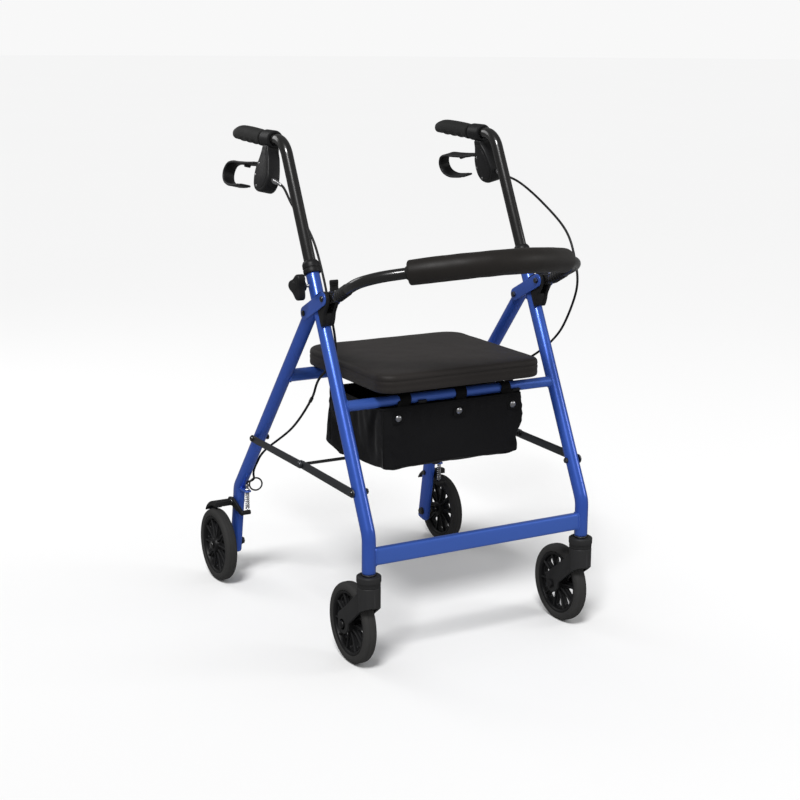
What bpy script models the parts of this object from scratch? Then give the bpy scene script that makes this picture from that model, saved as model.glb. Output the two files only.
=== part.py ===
"""A folding four-wheeled rollator walker, as separate named pieces.

Metres, +Z up. The front faces -Y and the user's left is +X. The origin is on the floor, in the middle
of the object's width and length. Run it with: blender --background --python part.py
"""

from math import acos, atan2, cos, degrees, hypot, pi, radians, sin, tan

import bmesh
import bpy
from mathutils import Matrix, Vector

# ---- driving dimensions ----------------------------------------------------------------------------
SIDES = (("left", 1), ("right", -1))
GAP = 0.0003  # between pieces that touch on the real object
ROUND = 14  # facets round a tube
WHEEL_STEPS = 24  # facets round a tyre and its rim, which have to be the same
SHIFT_Y = -0.01648  # the dimensions below measure Y from a point this far ahead of the origin

LEG_X = 0.230
LEG_R = 0.0127
FRONT_Y = -0.2655  # the upright stub that holds the caster
FRONT_BEND_Z = 0.259
LEG_BOTTOM_Z = 0.190
RAKE = radians(26.5)  # front leg and handle tube, leaning back from upright
LEG_LENGTH = 0.500  # from the lower bend to the top
LEG_BORE_R = 0.0116
LEG_BORE_FROM = 0.140

SEAT_TUBE_R = 0.010
SEAT_TUBE_AT = 0.2378  # distances "AT" run up the front leg from its lower bend
CROSSBAR_Z = 0.2197
CROSSBAR_HALF = (0.008, 0.016)

BRACKET_AT = 0.428
BRACKET_PLATE = 0.003
BRACKET_INNER = 0.0132  # from the leg's axis to a plate's inner face
BRACKET_R = 0.0125
FOLD_BEHIND = 0.0385  # fold pivot, behind the leg's axis
BACKREST_AHEAD = 0.0467  # backrest pivot, ahead of the leg's axis

REAR_SPLAY = radians(39.0)  # rear leg from upright
REAR_BEND = (0.3105, 0.200)
REAR_BOTTOM = (0.3360, 0.055)
REAR_FLAT = (0.009, 0.016)  # half width sideways and fore-aft of its flattened end
REAR_TUBE_Z = 0.4835
REAR_AXLE = (0.328, 0.076)
REAR_WHEEL_X = 0.272
BRAKE_PIVOT = (0.318, 0.168)
SPRING_TAB = (0.270, 0.2015)

WHEEL_R = 0.076
TYRE_HALF = 0.0125
TYRE_INNER_R = 0.0605
CASTER_TRAIL = 0.0626
FORK_TOP_Z = 0.187
FORK_R = 0.0215
FORK_GAP_HALF = 0.0165
FORK_ARM = 0.0052
AXLE_R = 0.004
STEM_R = 0.0055
BOLT_R = 0.003

BRACE_FRONT = (-0.2296, 0.331)
BRACE_REAR_FROM_PIVOT = 0.3758
BRACE_MIDDLE = (-0.0230, 0.3334)
BRACE_THICK = 0.003
BRACE_X = LEG_X + LEG_R + 0.0008  # inner face of the front struts

HANDLE_R = 0.0111
HANDLE_FROM = 0.270
GRIP_Z = 0.930
GRIP_END_Y = 0.2868
GRIP_START_Y = 0.156
GRIP_R = 0.0140
HANDLE_BEND_R = 0.045
BRAKE_TILT = radians(13)  # the brake units hang a little outwards
HOUSING_Y = (0.108, 0.148)
HOUSING_HALF = 0.0135
LEVER_HALF = 0.0115
LEVER_THICK = 0.0048
LEVER_PIVOT = (0.130, 0.048)  # y, and how far below the grip's axis

COLLAR_AT = (0.490, 0.514)
COLLAR_R = 0.0162
KNOB_AT = 0.468
KNOB_R = 0.0265

SEAT_HALF_X = 0.170
SEAT_Y = (-0.211, 0.115)
SEAT_CORNERS = (0.028, 0.055)  # radius of the front and of the rear corners
SEAT_BASE_Z = (0.4975, 0.5045)
SEAT_TOP_Z = 0.5265

BAG_HALF_X = 0.153
BAG_Y = (-0.176, 0.040)
BAG_Z = (0.352, 0.460)
BAG_WALL = 0.003

RELEASE_FOOT = (-0.134, 0.679)
BACKREST_R = 0.0100
PAD_R = 0.0225
PAD_HALF_X = 0.1616
BOW_Y, BOW_Z = -0.349, 0.7435  # the front of the backrest's bow, and how fast it falls back and down
BOW_BACK, BOW_DROP = 2.57, 0.65

COLOURS = {  # slot: colour, roughness, metallic
    "blue_paint": ((0.02, 0.10, 0.62), 0.25, 0.6),
    "black_paint": ((0.012, 0.012, 0.014), 0.18, 0.3),
    "black_plastic": ((0.02, 0.02, 0.022), 0.45, 0.0),
    "black_rubber": ((0.018, 0.018, 0.018), 0.75, 0.0),
    "tyre": ((0.045, 0.045, 0.048), 0.8, 0.0),
    "foam": ((0.02, 0.019, 0.018), 0.6, 0.0),
    "seat_vinyl": ((0.04, 0.036, 0.033), 0.5, 0.0),
    "bag_fabric": ((0.008, 0.008, 0.010), 0.85, 0.0),
    "strut_steel": ((0.08, 0.085, 0.095), 0.4, 0.8),
    "bright_steel": ((0.72, 0.72, 0.74), 0.25, 1.0),
    "cable": ((0.012, 0.012, 0.012), 0.4, 0.0),
}


# ---- places worked out from the driving dimensions -------------------------------------------------
UP_LEG = Vector((0, sin(RAKE), cos(RAKE)))
BACK_OF_LEG = Vector((0, cos(RAKE), -sin(RAKE)))
DOWN_REAR = Vector((0, sin(REAR_SPLAY), -cos(REAR_SPLAY)))


def on_leg(side, at, back=0.0, out=0.0):
    """A point at a distance up a front leg's axis, moved back from it or outwards."""
    base = Vector((side * (LEG_X + out), FRONT_Y, FRONT_BEND_Z))
    return base + UP_LEG * at + BACK_OF_LEG * back


def fold_pivot(side=0):
    point = on_leg(1, BRACKET_AT, FOLD_BEHIND)
    return Vector((side * LEG_X, point.y, point.z))


def backrest_pivot(side=0):
    point = on_leg(1, BRACKET_AT, -BACKREST_AHEAD)
    return Vector((side * LEG_X, point.y, point.z))


def in_yz(x, point):
    return Vector((x, point[0], point[1]))


def brace_rear(side=0):
    return fold_pivot(side) + DOWN_REAR * BRACE_REAR_FROM_PIVOT


def brake_unit(side, y, below, out=0.0):
    """A point of a brake unit: y, how far below the grip's axis, and how far out of its middle plane."""
    down = Vector((side * sin(BRAKE_TILT), 0, -cos(BRAKE_TILT)))
    outward = Vector((side * cos(BRAKE_TILT), 0, sin(BRAKE_TILT)))
    return Vector((side * LEG_X, y, GRIP_Z)) + down * below + outward * out


# ---- mesh tools ------------------------------------------------------------------------------------
def make_material(slot):
    colour, roughness, metallic = COLOURS[slot]
    material = bpy.data.materials.new(slot)
    material.use_nodes = True
    shader = material.node_tree.nodes["Principled BSDF"]
    shader.inputs["Base Color"].default_value = (*colour, 1)
    shader.inputs["Roughness"].default_value = roughness
    shader.inputs["Metallic"].default_value = metallic
    return material


def add_object(name, bm, slot):
    """Turns a bmesh into an object with outward normals and smooth round faces."""
    bmesh.ops.recalc_face_normals(bm, faces=bm.faces)
    mesh = bpy.data.meshes.new(name)
    bm.to_mesh(mesh)
    bm.free()
    mesh.shade_smooth()
    mesh.set_sharp_from_angle(angle=radians(35))
    mesh.materials.append(bpy.data.materials[slot])
    obj = bpy.data.objects.new(name, mesh)
    bpy.context.scene.collection.objects.link(obj)
    return obj


def fillet(points, radius, steps=5):
    """The polyline with each inner corner turned into an arc."""
    points = [Vector(p) for p in points]
    path = [points[0]]
    for before, corner, after in zip(points, points[1:], points[2:]):
        into, out_of = (before - corner).normalized(), (after - corner).normalized()
        half = acos(max(-1, min(1, into.dot(out_of)))) / 2
        centre = corner + (into + out_of).normalized() * (radius / sin(half))
        first = corner + into * (radius / tan(half)) - centre
        last = corner + out_of * (radius / tan(half)) - centre
        for i in range(steps + 1):
            path.append(centre + first.slerp(last, i / steps).normalized() * radius)
    return [*path, points[-1]]


def curve_points(knots, steps):
    """A smooth curve through the knots (Catmull-Rom)."""
    knots = [Vector(k) for k in knots]
    ends = [2 * knots[0] - knots[1], *knots, 2 * knots[-1] - knots[-2]]
    path = []
    for a, b, c, d in zip(ends, ends[1:], ends[2:], ends[3:]):
        for i in range(steps):
            t = i / steps
            path.append(
                0.5 * (2 * b + (c - a) * t + (2 * a - 5 * b + 4 * c - d) * t**2
                       + (3 * b - a - 3 * c + d) * t**3)
            )
    return [*path, knots[-1]]


def sweep(name, path, section, slot, sides=ROUND, across=(1, 0, 0)):
    """A solid of elliptical section along a path. section is a (half across, half other) pair, or one
    pair for each point of the path."""
    pairs = section if isinstance(section, list) else [section] * len(path)
    bm = bmesh.new()
    across = Vector(across)
    rings = []
    for i, (point, (wide, deep)) in enumerate(zip(path, pairs)):
        ahead = path[min(i + 1, len(path) - 1)] - point
        behind = point - path[max(i - 1, 0)]
        tangent = (ahead.normalized() + behind.normalized()).normalized()
        across = (across - tangent * across.dot(tangent)).normalized()
        other = tangent.cross(across)
        turns = [2 * pi * (k + 0.5) / sides for k in range(sides)]
        rings.append([bm.verts.new(point + across * wide * cos(a) + other * deep * sin(a)) for a in turns])
    for ring, following in zip(rings, rings[1:]):
        for k in range(sides):
            bm.faces.new((ring[k], ring[k - 1], following[k - 1], following[k]))
    bm.faces.new(rings[0])
    bm.faces.new(rings[-1])
    return add_object(name, bm, slot)


def rod(name, start, end, radius, slot, sides=ROUND):
    start, end = Vector(start), Vector(end)
    across = (0, 0, 1) if abs((end - start).normalized().x) > 0.9 else (1, 0, 0)
    return sweep(name, [start, end], (radius, radius), slot, sides, across)


def lathe(name, profile, origin, axis, slot, steps=24, ring=False):
    """A turned solid. profile holds (radius, distance along the axis); a ring's profile is a closed loop.
    Round the X axis, the lowest facet lies flat."""
    axis = Vector(axis).normalized()
    turn = Vector((0, 0, 1)).rotation_difference(axis).to_matrix().to_4x4()
    bm = bmesh.new()
    rows = []
    for radius, along in profile:
        if radius == 0:
            rows.append([bm.verts.new((0, 0, along))] * steps)
        else:
            angles = [2 * pi * (k + 0.5) / steps for k in range(steps)]
            rows.append([bm.verts.new((radius * cos(a), radius * sin(a), along)) for a in angles])
    pairs = list(zip(rows, rows[1:] + rows[:1])) if ring else list(zip(rows, rows[1:]))
    for row, following in pairs:
        for k in range(steps):
            corners = dict.fromkeys((row[k - 1], row[k], following[k], following[k - 1]))
            if len(corners) > 2:
                bm.faces.new(corners)
    obj = add_object(name, bm, slot)
    obj.matrix_world = Matrix.Translation(Vector(origin)) @ turn
    return obj


def prism(name, outline, low, high, slot, plane="YZ", place=None):
    """An outline extruded across its plane: YZ outlines along X, XY outlines along Z."""
    bm = bmesh.new()
    lift = (lambda a, b, c: (c, a, b)) if plane == "YZ" else (lambda a, b, c: (a, b, c))
    bottom = [bm.verts.new(lift(*p, low)) for p in outline]
    top = [bm.verts.new(lift(*p, high)) for p in outline]
    bm.faces.new(bottom)
    bm.faces.new(top)
    for k in range(len(outline)):
        bm.faces.new((bottom[k - 1], bottom[k], top[k], top[k - 1]))
    obj = add_object(name, bm, slot)
    if place:
        obj.matrix_world = place
    return obj


def arc(centre, radius, start, end, steps):
    """Points of an arc, with its angles in degrees."""
    angles = [radians(start + (end - start) * i / steps) for i in range(steps + 1)]
    return [(centre[0] + radius * cos(a), centre[1] + radius * sin(a)) for a in angles]


def link_outline(a, b, radius_a, radius_b, steps=6):
    """The outline of a bar with a round end about each of two points."""
    along = degrees(atan2(b[1] - a[1], b[0] - a[0]))
    lean = degrees(acos((radius_a - radius_b) / hypot(b[0] - a[0], b[1] - a[1])))
    return arc(a, radius_a, along + lean, along + 360 - lean, steps) + arc(
        b, radius_b, along - lean, along + lean, steps
    )


def rounded_rectangle(low, high, radius, steps=4):
    (x0, y0), (x1, y1) = low, high
    corners = (
        ((x1 - radius, y1 - radius), 0),
        ((x0 + radius, y1 - radius), 90),
        ((x0 + radius, y0 + radius), 180),
        ((x1 - radius, y0 + radius), 270),
    )
    return [p for centre, start in corners for p in arc(centre, radius, start, start + 90, steps)]


def seat_outline(inset=0.0, steps=5):
    """The seat's outline, with tighter corners in front than behind."""
    x, low, high = SEAT_HALF_X - inset, SEAT_Y[0] + inset, SEAT_Y[1] - inset
    front, rear = (radius - inset for radius in SEAT_CORNERS)
    corners = (
        ((x - rear, high - rear), rear, 0),
        ((-x + rear, high - rear), rear, 90),
        ((-x + front, low + front), front, 180),
        ((x - front, low + front), front, 270),
    )
    return [p for centre, radius, start in corners for p in arc(centre, radius, start, start + 90, steps)]


def combine(obj, operation, others):
    """Adds or cuts other solids, which become hidden helpers."""
    for other in others:
        modifier = obj.modifiers.new(other.name, "BOOLEAN")
        modifier.operation = operation
        modifier.solver = "EXACT"
        modifier.object = other
        other.hide_render = True
        other.display_type = "WIRE"
    return obj


def join(obj, *others):
    return combine(obj, "UNION", others)


def cut(obj, *others):
    return combine(obj, "DIFFERENCE", others)


def pivot(name, location, parent=None):
    """An empty on a joint's axis; the pieces that move with the joint are parented to it."""
    empty = bpy.data.objects.new(name, None)
    empty.empty_display_size = 0.03
    bpy.context.scene.collection.objects.link(empty)
    empty.location = Vector(location)
    if parent:
        attach(parent, empty)
    return empty


def attach(parent, *objects):
    bpy.context.view_layer.update()
    for obj in objects:
        obj.parent = parent
        obj.matrix_parent_inverse = parent.matrix_world.inverted()


# ---- the fixed front frame -------------------------------------------------------------------------
def make_bracket_plates(name, side):
    """The two blue plates that straddle a leg, and the sleeve that carries them."""
    pivot_point, front_point = fold_pivot(), backrest_pivot()
    outline = link_outline(pivot_point.yz, front_point.yz, BRACKET_R, BRACKET_R)
    shapes = []
    for way in (-1, 1):
        faces = sorted(
            side * LEG_X + way * x for x in (BRACKET_INNER, BRACKET_INNER + BRACKET_PLATE)
        )
        shapes.append(prism(f"add_{name}_{way}", outline, *faces, "blue_paint"))
    middle = on_leg(side, BRACKET_AT)
    reach = BRACKET_R - 0.001
    ends = middle - UP_LEG * reach, middle + UP_LEG * reach
    shapes.append(rod(f"add_{name}_sleeve", *ends, BRACKET_INNER + 0.001, "blue_paint"))
    return shapes


def make_front_frame():
    seat_tube = on_leg(1, SEAT_TUBE_AT)
    ends = [Vector((x, seat_tube.y, seat_tube.z)) for x in (-LEG_X, LEG_X)]
    frame = rod("front_frame", *ends, SEAT_TUBE_R, "blue_paint")
    bar_ends = [Vector((x, FRONT_Y, CROSSBAR_Z)) for x in (-LEG_X, LEG_X)]
    half_deep, half_high = CROSSBAR_HALF
    bar = sweep("add_crossbar", bar_ends, (half_high, half_deep), "blue_paint", across=(0, 0, 1))
    adds, cuts = [bar], []
    for name, side in SIDES:
        corner = on_leg(side, 0)
        foot = Vector((corner.x, FRONT_Y, LEG_BOTTOM_Z))
        path = fillet([on_leg(side, LEG_LENGTH), corner, foot], 0.05)
        adds.append(sweep(f"add_leg_{name}", path, (LEG_R, LEG_R), "blue_paint"))
        adds += make_bracket_plates(f"bracket_{name}", side)
        bore = on_leg(side, LEG_BORE_FROM), on_leg(side, LEG_LENGTH + 0.01)
        cuts.append(rod(f"cut_bore_{name}", *bore, LEG_BORE_R, "blue_paint"))
        stem_top = Vector((corner.x, FRONT_Y, LEG_BOTTOM_Z + 0.045))
        stem_hole = foot - Vector((0, 0, 0.01)), stem_top
        cuts.append(rod(f"cut_stem_{name}", *stem_hole, STEM_R + GAP * 2, "blue_paint", 12))
        for label, point in (
            ("fold", fold_pivot(side)),
            ("backrest", backrest_pivot(side)),
            ("brace", in_yz(side * LEG_X, BRACE_FRONT)),
        ):
            reach = Vector((0.022, 0, 0))
            cuts.append(
                rod(f"cut_{label}_{name}", point - reach, point + reach, BOLT_R + GAP, "blue_paint", 10)
            )
        knob = on_leg(side, KNOB_AT)
        outward = knob + Vector((side * 0.022, 0, 0))
        cuts.append(rod(f"cut_knob_{name}", knob, outward, BOLT_R + GAP, "blue_paint", 10))
    join(frame, *adds)
    cut(frame, *cuts)
    return frame


def make_bolt(name, side, point, x_inner, x_outer, slot="bright_steel", radius=BOLT_R):
    """A bolt along X with a domed head outside and a nut inside, measured from the object's middle."""
    head_r, head_h = radius * 1.9, radius * 1.1
    profile = [
        (0, x_inner - head_h),
        (head_r, x_inner - head_h),
        (head_r, x_inner),
        (radius, x_inner),
        (radius, x_outer),
        (head_r, x_outer),
        (head_r * 0.8, x_outer + head_h * 0.8),
        (0, x_outer + head_h),
    ]
    return lathe(name, profile, (0, point.y, point.z), (side, 0, 0), slot, 12)


def make_collar(name, side):
    """The plastic cap on the leg's top, which guides the handle tube."""
    low, high = COLLAR_AT
    step = LEG_LENGTH + GAP
    profile = [
        (LEG_R + GAP * 2, low), (COLLAR_R, low), (COLLAR_R, high - 0.004),
        (COLLAR_R - 0.003, high), (HANDLE_R + GAP * 1.5, high), (HANDLE_R + GAP * 1.5, step),
        (LEG_R + GAP * 2, step),
    ]
    return lathe(f"collar_{name}", profile, on_leg(side, 0), UP_LEG, "black_plastic", 14, ring=True)


def make_backrest_bracket(name, side):
    """The moulded block on the front of the leg, slotted for the backrest's end, with a gusset below it."""
    front = backrest_pivot()
    half = BRACKET_INNER - GAP

    def ahead(distance, at):
        point = on_leg(1, at, -distance)
        return point.y, point.z

    clear = LEG_R + 0.0022
    outline = [
        ahead(clear, 0.4445), ahead(0.040, 0.4440), ahead(0.0585, 0.4360), ahead(0.0585, 0.420),
        ahead(0.047, 0.412), ahead(0.034, 0.404), ahead(0.0285, 0.396), ahead(0.020, 0.388),
        ahead(clear, 0.384),
    ]
    block = prism(f"backrest_bracket_{name}", outline, side * LEG_X - half, side * LEG_X + half,
                  "black_plastic")
    room = [ahead(0.026, 0.470), ahead(0.080, 0.470), ahead(0.080, 0.395), ahead(0.026, 0.413)]
    slot_half = 0.0055
    slot = prism(f"cut_slot_{name}", room, side * LEG_X - slot_half, side * LEG_X + slot_half,
                 "black_plastic")
    reach = Vector((0.02, 0, 0))
    hole_at = Vector((side * LEG_X, front.y, front.z))
    hole = rod(f"cut_pin_{name}", hole_at - reach, hole_at + reach, BOLT_R + GAP, "black_plastic", 10)
    return cut(block, slot, hole)


def make_release_tab(name, side):
    """The upright tab that frees the backrest, standing over the end of its bar."""
    place = Matrix.Translation(in_yz(side * LEG_X, RELEASE_FOOT)) @ Matrix.Rotation(radians(-6), 4, "X")
    outline = rounded_rectangle((-0.0032, 0), (0.0032, 0.020), 0.0025, 2)
    return prism(f"backrest_release_{name}", outline, -0.008, 0.008, "black_plastic", place=place)


# ---- the rear frame, which folds about the top brackets --------------------------------------------
def make_rear_frame():
    pivot_point = fold_pivot()
    tube_y = pivot_point.y + (pivot_point.z - REAR_TUBE_Z) * tan(REAR_SPLAY)
    ends = [Vector((x, tube_y, REAR_TUBE_Z)) for x in (-LEG_X, LEG_X)]
    frame = rod("rear_frame", *ends, LEG_R, "blue_paint")
    adds, cuts = [], []
    for name, side in SIDES:
        top = fold_pivot(side) - DOWN_REAR * 0.013
        bend = in_yz(side * LEG_X, REAR_BEND)
        path = fillet([top, bend, in_yz(side * LEG_X, REAR_BOTTOM)], 0.05, 6)
        path.insert(-1, path[-2].lerp(path[-1], 0.08))
        flat_from = REAR_BEND[1] + 0.02
        flat_to = REAR_BEND[1] - 0.025
        sections = []
        for point in path:
            share = max(0, min(1, (flat_from - point.z) / (flat_from - flat_to)))
            sections.append(tuple(LEG_R + (flat - LEG_R) * share for flat in REAR_FLAT))
        adds.append(sweep(f"add_rear_leg_{name}", path, sections, "blue_paint"))
        y, z = SPRING_TAB
        outline = rounded_rectangle((y - 0.008, z - 0.0015), (y + 0.035, z + 0.0015), 0.0012, 1)
        faces = sorted((side * (LEG_X - 0.007), side * (LEG_X + 0.007)))
        adds.append(prism(f"add_tab_{name}", outline, *faces, "blue_paint"))
        for label, centre, radius in (
            ("fold", fold_pivot().yz, BOLT_R + GAP * 1.5),
            ("brake", BRAKE_PIVOT, BOLT_R + GAP),
            ("axle", REAR_AXLE, AXLE_R + GAP),
            ("brace", brace_rear().yz, BOLT_R + GAP),
        ):
            point, reach = in_yz(side * LEG_X, centre), Vector((0.02, 0, 0))
            cuts.append(
                rod(f"cut_{label}_rear_{name}", point - reach, point + reach, radius, "blue_paint", 10)
            )
        along = Vector((0, 0, 0.01))
        middle = in_yz(side * LEG_X, SPRING_TAB)
        cuts.append(rod(f"cut_tab_{name}", middle - along, middle + along, 0.0018, "blue_paint", 8))
    join(frame, *adds)
    cut(frame, *cuts)
    return frame


def make_rear_axle(name, side):
    leg_in = LEG_X - REAR_FLAT[0] - GAP
    leg_out = LEG_X + REAR_FLAT[0] + GAP
    hub_in, hub_out = REAR_WHEEL_X - 0.014 - GAP * 2, REAR_WHEEL_X + 0.014 + GAP * 2
    profile = [
        (0, leg_in - 0.006), (0.007, leg_in - 0.006), (0.007, leg_in), (AXLE_R, leg_in),
        (AXLE_R, leg_out), (0.008, leg_out), (0.008, hub_in), (AXLE_R, hub_in), (AXLE_R, hub_out),
        (0.0075, hub_out), (0.006, hub_out + 0.004), (0, hub_out + 0.0045),
    ]
    return lathe(f"rear_axle_{name}", profile, (0, *REAR_AXLE), (side, 0, 0), "bright_steel", 16)


def make_hub(name, centre, side, half_width):
    """A spoked wheel centre: round boss, ten spokes with rounded windows between them, and a rim."""
    rim_r, rim_in, boss_r, bore_r = TYRE_INNER_R - GAP, 0.0525, 0.0155, AXLE_R + GAP
    rim_half, web_half = 0.0100, 0.0035
    profile = [
        (bore_r, -half_width), (boss_r, -half_width), (boss_r, -web_half), (rim_in, -web_half),
        (rim_r, -rim_half), (rim_r, rim_half), (rim_in, web_half), (boss_r, web_half),
        (boss_r, half_width), (bore_r, half_width),
    ]
    hub = lathe(name, profile, centre, (side, 0, 0), "black_plastic", WHEEL_STEPS, ring=True)
    spokes = 10
    windows = []
    for k in range(spokes):
        near, far = 0.024, 0.0445
        outline = link_outline((near, 0), (far, 0), 0.0022, 0.0065, 1)
        turn = Matrix.Rotation(2 * pi * (k + 0.35) / spokes, 4, "X")
        place = Matrix.Translation(centre) @ turn
        windows.append(
            prism(f"cut_{name}_{k}", outline, -0.006, 0.006, "black_plastic", place=place)
        )
    return cut(hub, *windows)


def make_tyre(name, centre, side):
    crown = WHEEL_R / cos(pi / WHEEL_STEPS)  # the middle of its lowest facet touches the floor
    shoulder = crown - 0.004
    profile = [
        (TYRE_INNER_R, -0.0105), (shoulder, -TYRE_HALF), (crown, -0.007), (crown, 0.007),
        (shoulder, TYRE_HALF), (TYRE_INNER_R, 0.0105),
    ]
    return lathe(name, profile, centre, (side, 0, 0), "tyre", WHEEL_STEPS, ring=True)


def make_brake_shoe(name, side):
    """The shoe over the tyre, with its pivot plate beside the leg and a front arm for the cable."""
    inner_r = WHEEL_R + 0.0055
    pad = arc(REAR_AXLE, inner_r, 92, 49, 7) + [
        arc(REAR_AXLE, inner_r + thick, angle, angle, 1)[0]
        for angle, thick in ((50, 0.0050), (58, 0.0085), (68, 0.0110), (78, 0.0130), (87, 0.0140), (92, 0.0130))
    ]
    x_in, x_mid, x_out = LEG_X + 0.0102, LEG_X + 0.0152, REAR_WHEEL_X + 0.0135
    faces = sorted((side * (x_in + 0.0002), side * x_out))
    shoe = prism(f"brake_shoe_{name}", pad, *faces, "black_plastic")
    front = SPRING_TAB[0], SPRING_TAB[1] - 0.046
    arm = link_outline(BRAKE_PIVOT, front, 0.0095, 0.0055)
    faces = sorted((side * x_in, side * x_mid))
    plate = prism(f"add_arm_{name}", arm, *faces, "black_plastic")
    step = arc(REAR_AXLE, inner_r + 0.001, 96, 76, 3) + [
        (BRAKE_PIVOT[0] + 0.012, BRAKE_PIVOT[1] + 0.0075), (BRAKE_PIVOT[0], BRAKE_PIVOT[1] + 0.0092),
        (BRAKE_PIVOT[0] - 0.006, BRAKE_PIVOT[1]),
    ]
    web = prism(f"add_web_{name}", step, *faces, "black_plastic")
    lug_ends = sorted((side * (LEG_X - 0.006), side * (x_mid - 0.001)))
    lug_outline = arc(front, 0.0045, 0, 330, 8)
    lug = prism(f"add_lug_{name}", lug_outline, *lug_ends, "black_plastic")
    point = in_yz(side * LEG_X, BRAKE_PIVOT)
    reach = Vector((0.03, 0, 0))
    hole = rod(f"cut_shoe_{name}", point - reach, point + reach, BOLT_R + GAP * 1.5, "black_plastic", 10)
    return cut(join(shoe, plate, web, lug), hole)


def make_spring(name, side):
    """The return spring as the cylinder that it fills."""
    top = in_yz(side * LEG_X, SPRING_TAB) - Vector((0, 0, 0.003))
    bottom = top - Vector((0, 0, 0.0355))
    return rod(f"brake_spring_{name}", top, bottom, 0.0048, "bright_steel", 12)


# ---- folding brace ---------------------------------------------------------------------------------
def make_brace_yoke():
    """Both front struts and the cross rod that joins their back ends."""
    middle = in_yz(0, BRACE_MIDDLE)
    reach = Vector((BRACE_X + 0.001, 0, 0))
    yoke = rod("brace_yoke", middle - reach, middle + reach, 0.004, "strut_steel", 12)
    outline = link_outline(BRACE_FRONT, BRACE_MIDDLE, 0.0085, 0.0080)
    adds, cuts = [], []
    for name, side in SIDES:
        faces = sorted((side * BRACE_X, side * (BRACE_X + BRACE_THICK)))
        adds.append(prism(f"add_strut_{name}", outline, *faces, "strut_steel"))
        point = in_yz(side * BRACE_X, BRACE_FRONT)
        hole_reach = Vector((0.01, 0, 0))
        cuts.append(
            rod(f"cut_strut_{name}", point - hole_reach, point + hole_reach, BOLT_R + GAP,
                "strut_steel", 10)
        )
    join(yoke, *adds)
    cut(yoke, *cuts)
    return yoke


def make_rear_strut(name, side):
    """A rear strut. Its front end lies outside the front strut with no pin through it."""
    x_in = BRACE_X + BRACE_THICK + GAP
    faces = sorted((side * x_in, side * (x_in + BRACE_THICK)))
    rear = brace_rear()
    outline = link_outline(BRACE_MIDDLE, (rear.y, rear.z), 0.0078, 0.0072)
    strut = prism(f"rear_strut_{name}", outline, *faces, "strut_steel")
    point = in_yz(side * x_in, rear.yz)
    reach = Vector((0.01, 0, 0))
    hole = rod(f"cut_rear_strut_{name}", point - reach, point + reach, BOLT_R + GAP, "strut_steel", 10)
    return cut(strut, hole)


# ---- casters ---------------------------------------------------------------------------------------
def make_caster_fork(name, side):
    centre = Vector((side * LEG_X, FRONT_Y, 0))
    axle = Vector((side * LEG_X, FRONT_Y + CASTER_TRAIL, WHEEL_R))
    bottom = FORK_TOP_Z - 0.036
    profile = [
        (0, bottom), (FORK_R, bottom), (FORK_R, FORK_TOP_Z - 0.006),
        (FORK_R + 0.0012, FORK_TOP_Z - 0.005), (FORK_R + 0.0012, FORK_TOP_Z), (0, FORK_TOP_Z),
    ]
    fork = lathe(f"caster_fork_{name}", profile, centre, (0, 0, 1), "black_plastic", 18)
    adds = []
    outline = [
        (FRONT_Y - 0.0140, FORK_TOP_Z - 0.010), (FRONT_Y - 0.0140, 0.1290), (FRONT_Y - 0.0020, 0.1190),
        (FRONT_Y + 0.0183, 0.1026), (axle.y - 0.0185, WHEEL_R + 0.008),
        *arc((axle.y, axle.z), 0.0148, 185, 360, 6),
        (axle.y + 0.0155, WHEEL_R + 0.0160), (FRONT_Y + 0.0510, 0.1155), (FRONT_Y + 0.0215, 0.1410),
        (FRONT_Y + 0.0200, FORK_TOP_Z - 0.010),
    ]
    for way in (-1, 1):
        faces = sorted(side * LEG_X + way * x for x in (FORK_GAP_HALF, FORK_GAP_HALF + FORK_ARM))
        adds.append(prism(f"add_fork_{name}_{way}", outline, *faces, "black_plastic"))
    reach = Vector((0.03, 0, 0))
    axle_hole = rod(f"cut_fork_{name}", axle - reach, axle + reach, AXLE_R + GAP, "black_plastic", 12)
    stem_ends = centre + Vector((0, 0, bottom + 0.008)), centre + Vector((0, 0, FORK_TOP_Z + 0.01))
    stem_hole = rod(f"cut_fork_stem_{name}", *stem_ends, STEM_R + GAP * 2, "black_plastic", 12)
    return cut(join(fork, *adds), axle_hole, stem_hole)


def make_caster_stem(name, side):
    low = FORK_TOP_Z - 0.0275
    washer = FORK_TOP_Z + GAP, LEG_BOTTOM_Z - GAP
    profile = [
        (0, low), (STEM_R, low), (STEM_R, washer[0]), (0.0125, washer[0]), (0.0125, washer[1]),
        (STEM_R, washer[1]), (STEM_R, LEG_BOTTOM_Z + 0.040), (0, LEG_BOTTOM_Z + 0.042),
    ]
    return lathe(f"caster_stem_{name}", profile, (side * LEG_X, FRONT_Y, 0), (0, 0, 1),
                 "bright_steel", 12)


def make_caster_axle(name, side):
    reach = FORK_GAP_HALF + FORK_ARM + GAP
    point = Vector((0, FRONT_Y + CASTER_TRAIL, WHEEL_R))
    return make_bolt(f"caster_axle_{name}", side, point, LEG_X - reach, LEG_X + reach, radius=AXLE_R)


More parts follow.
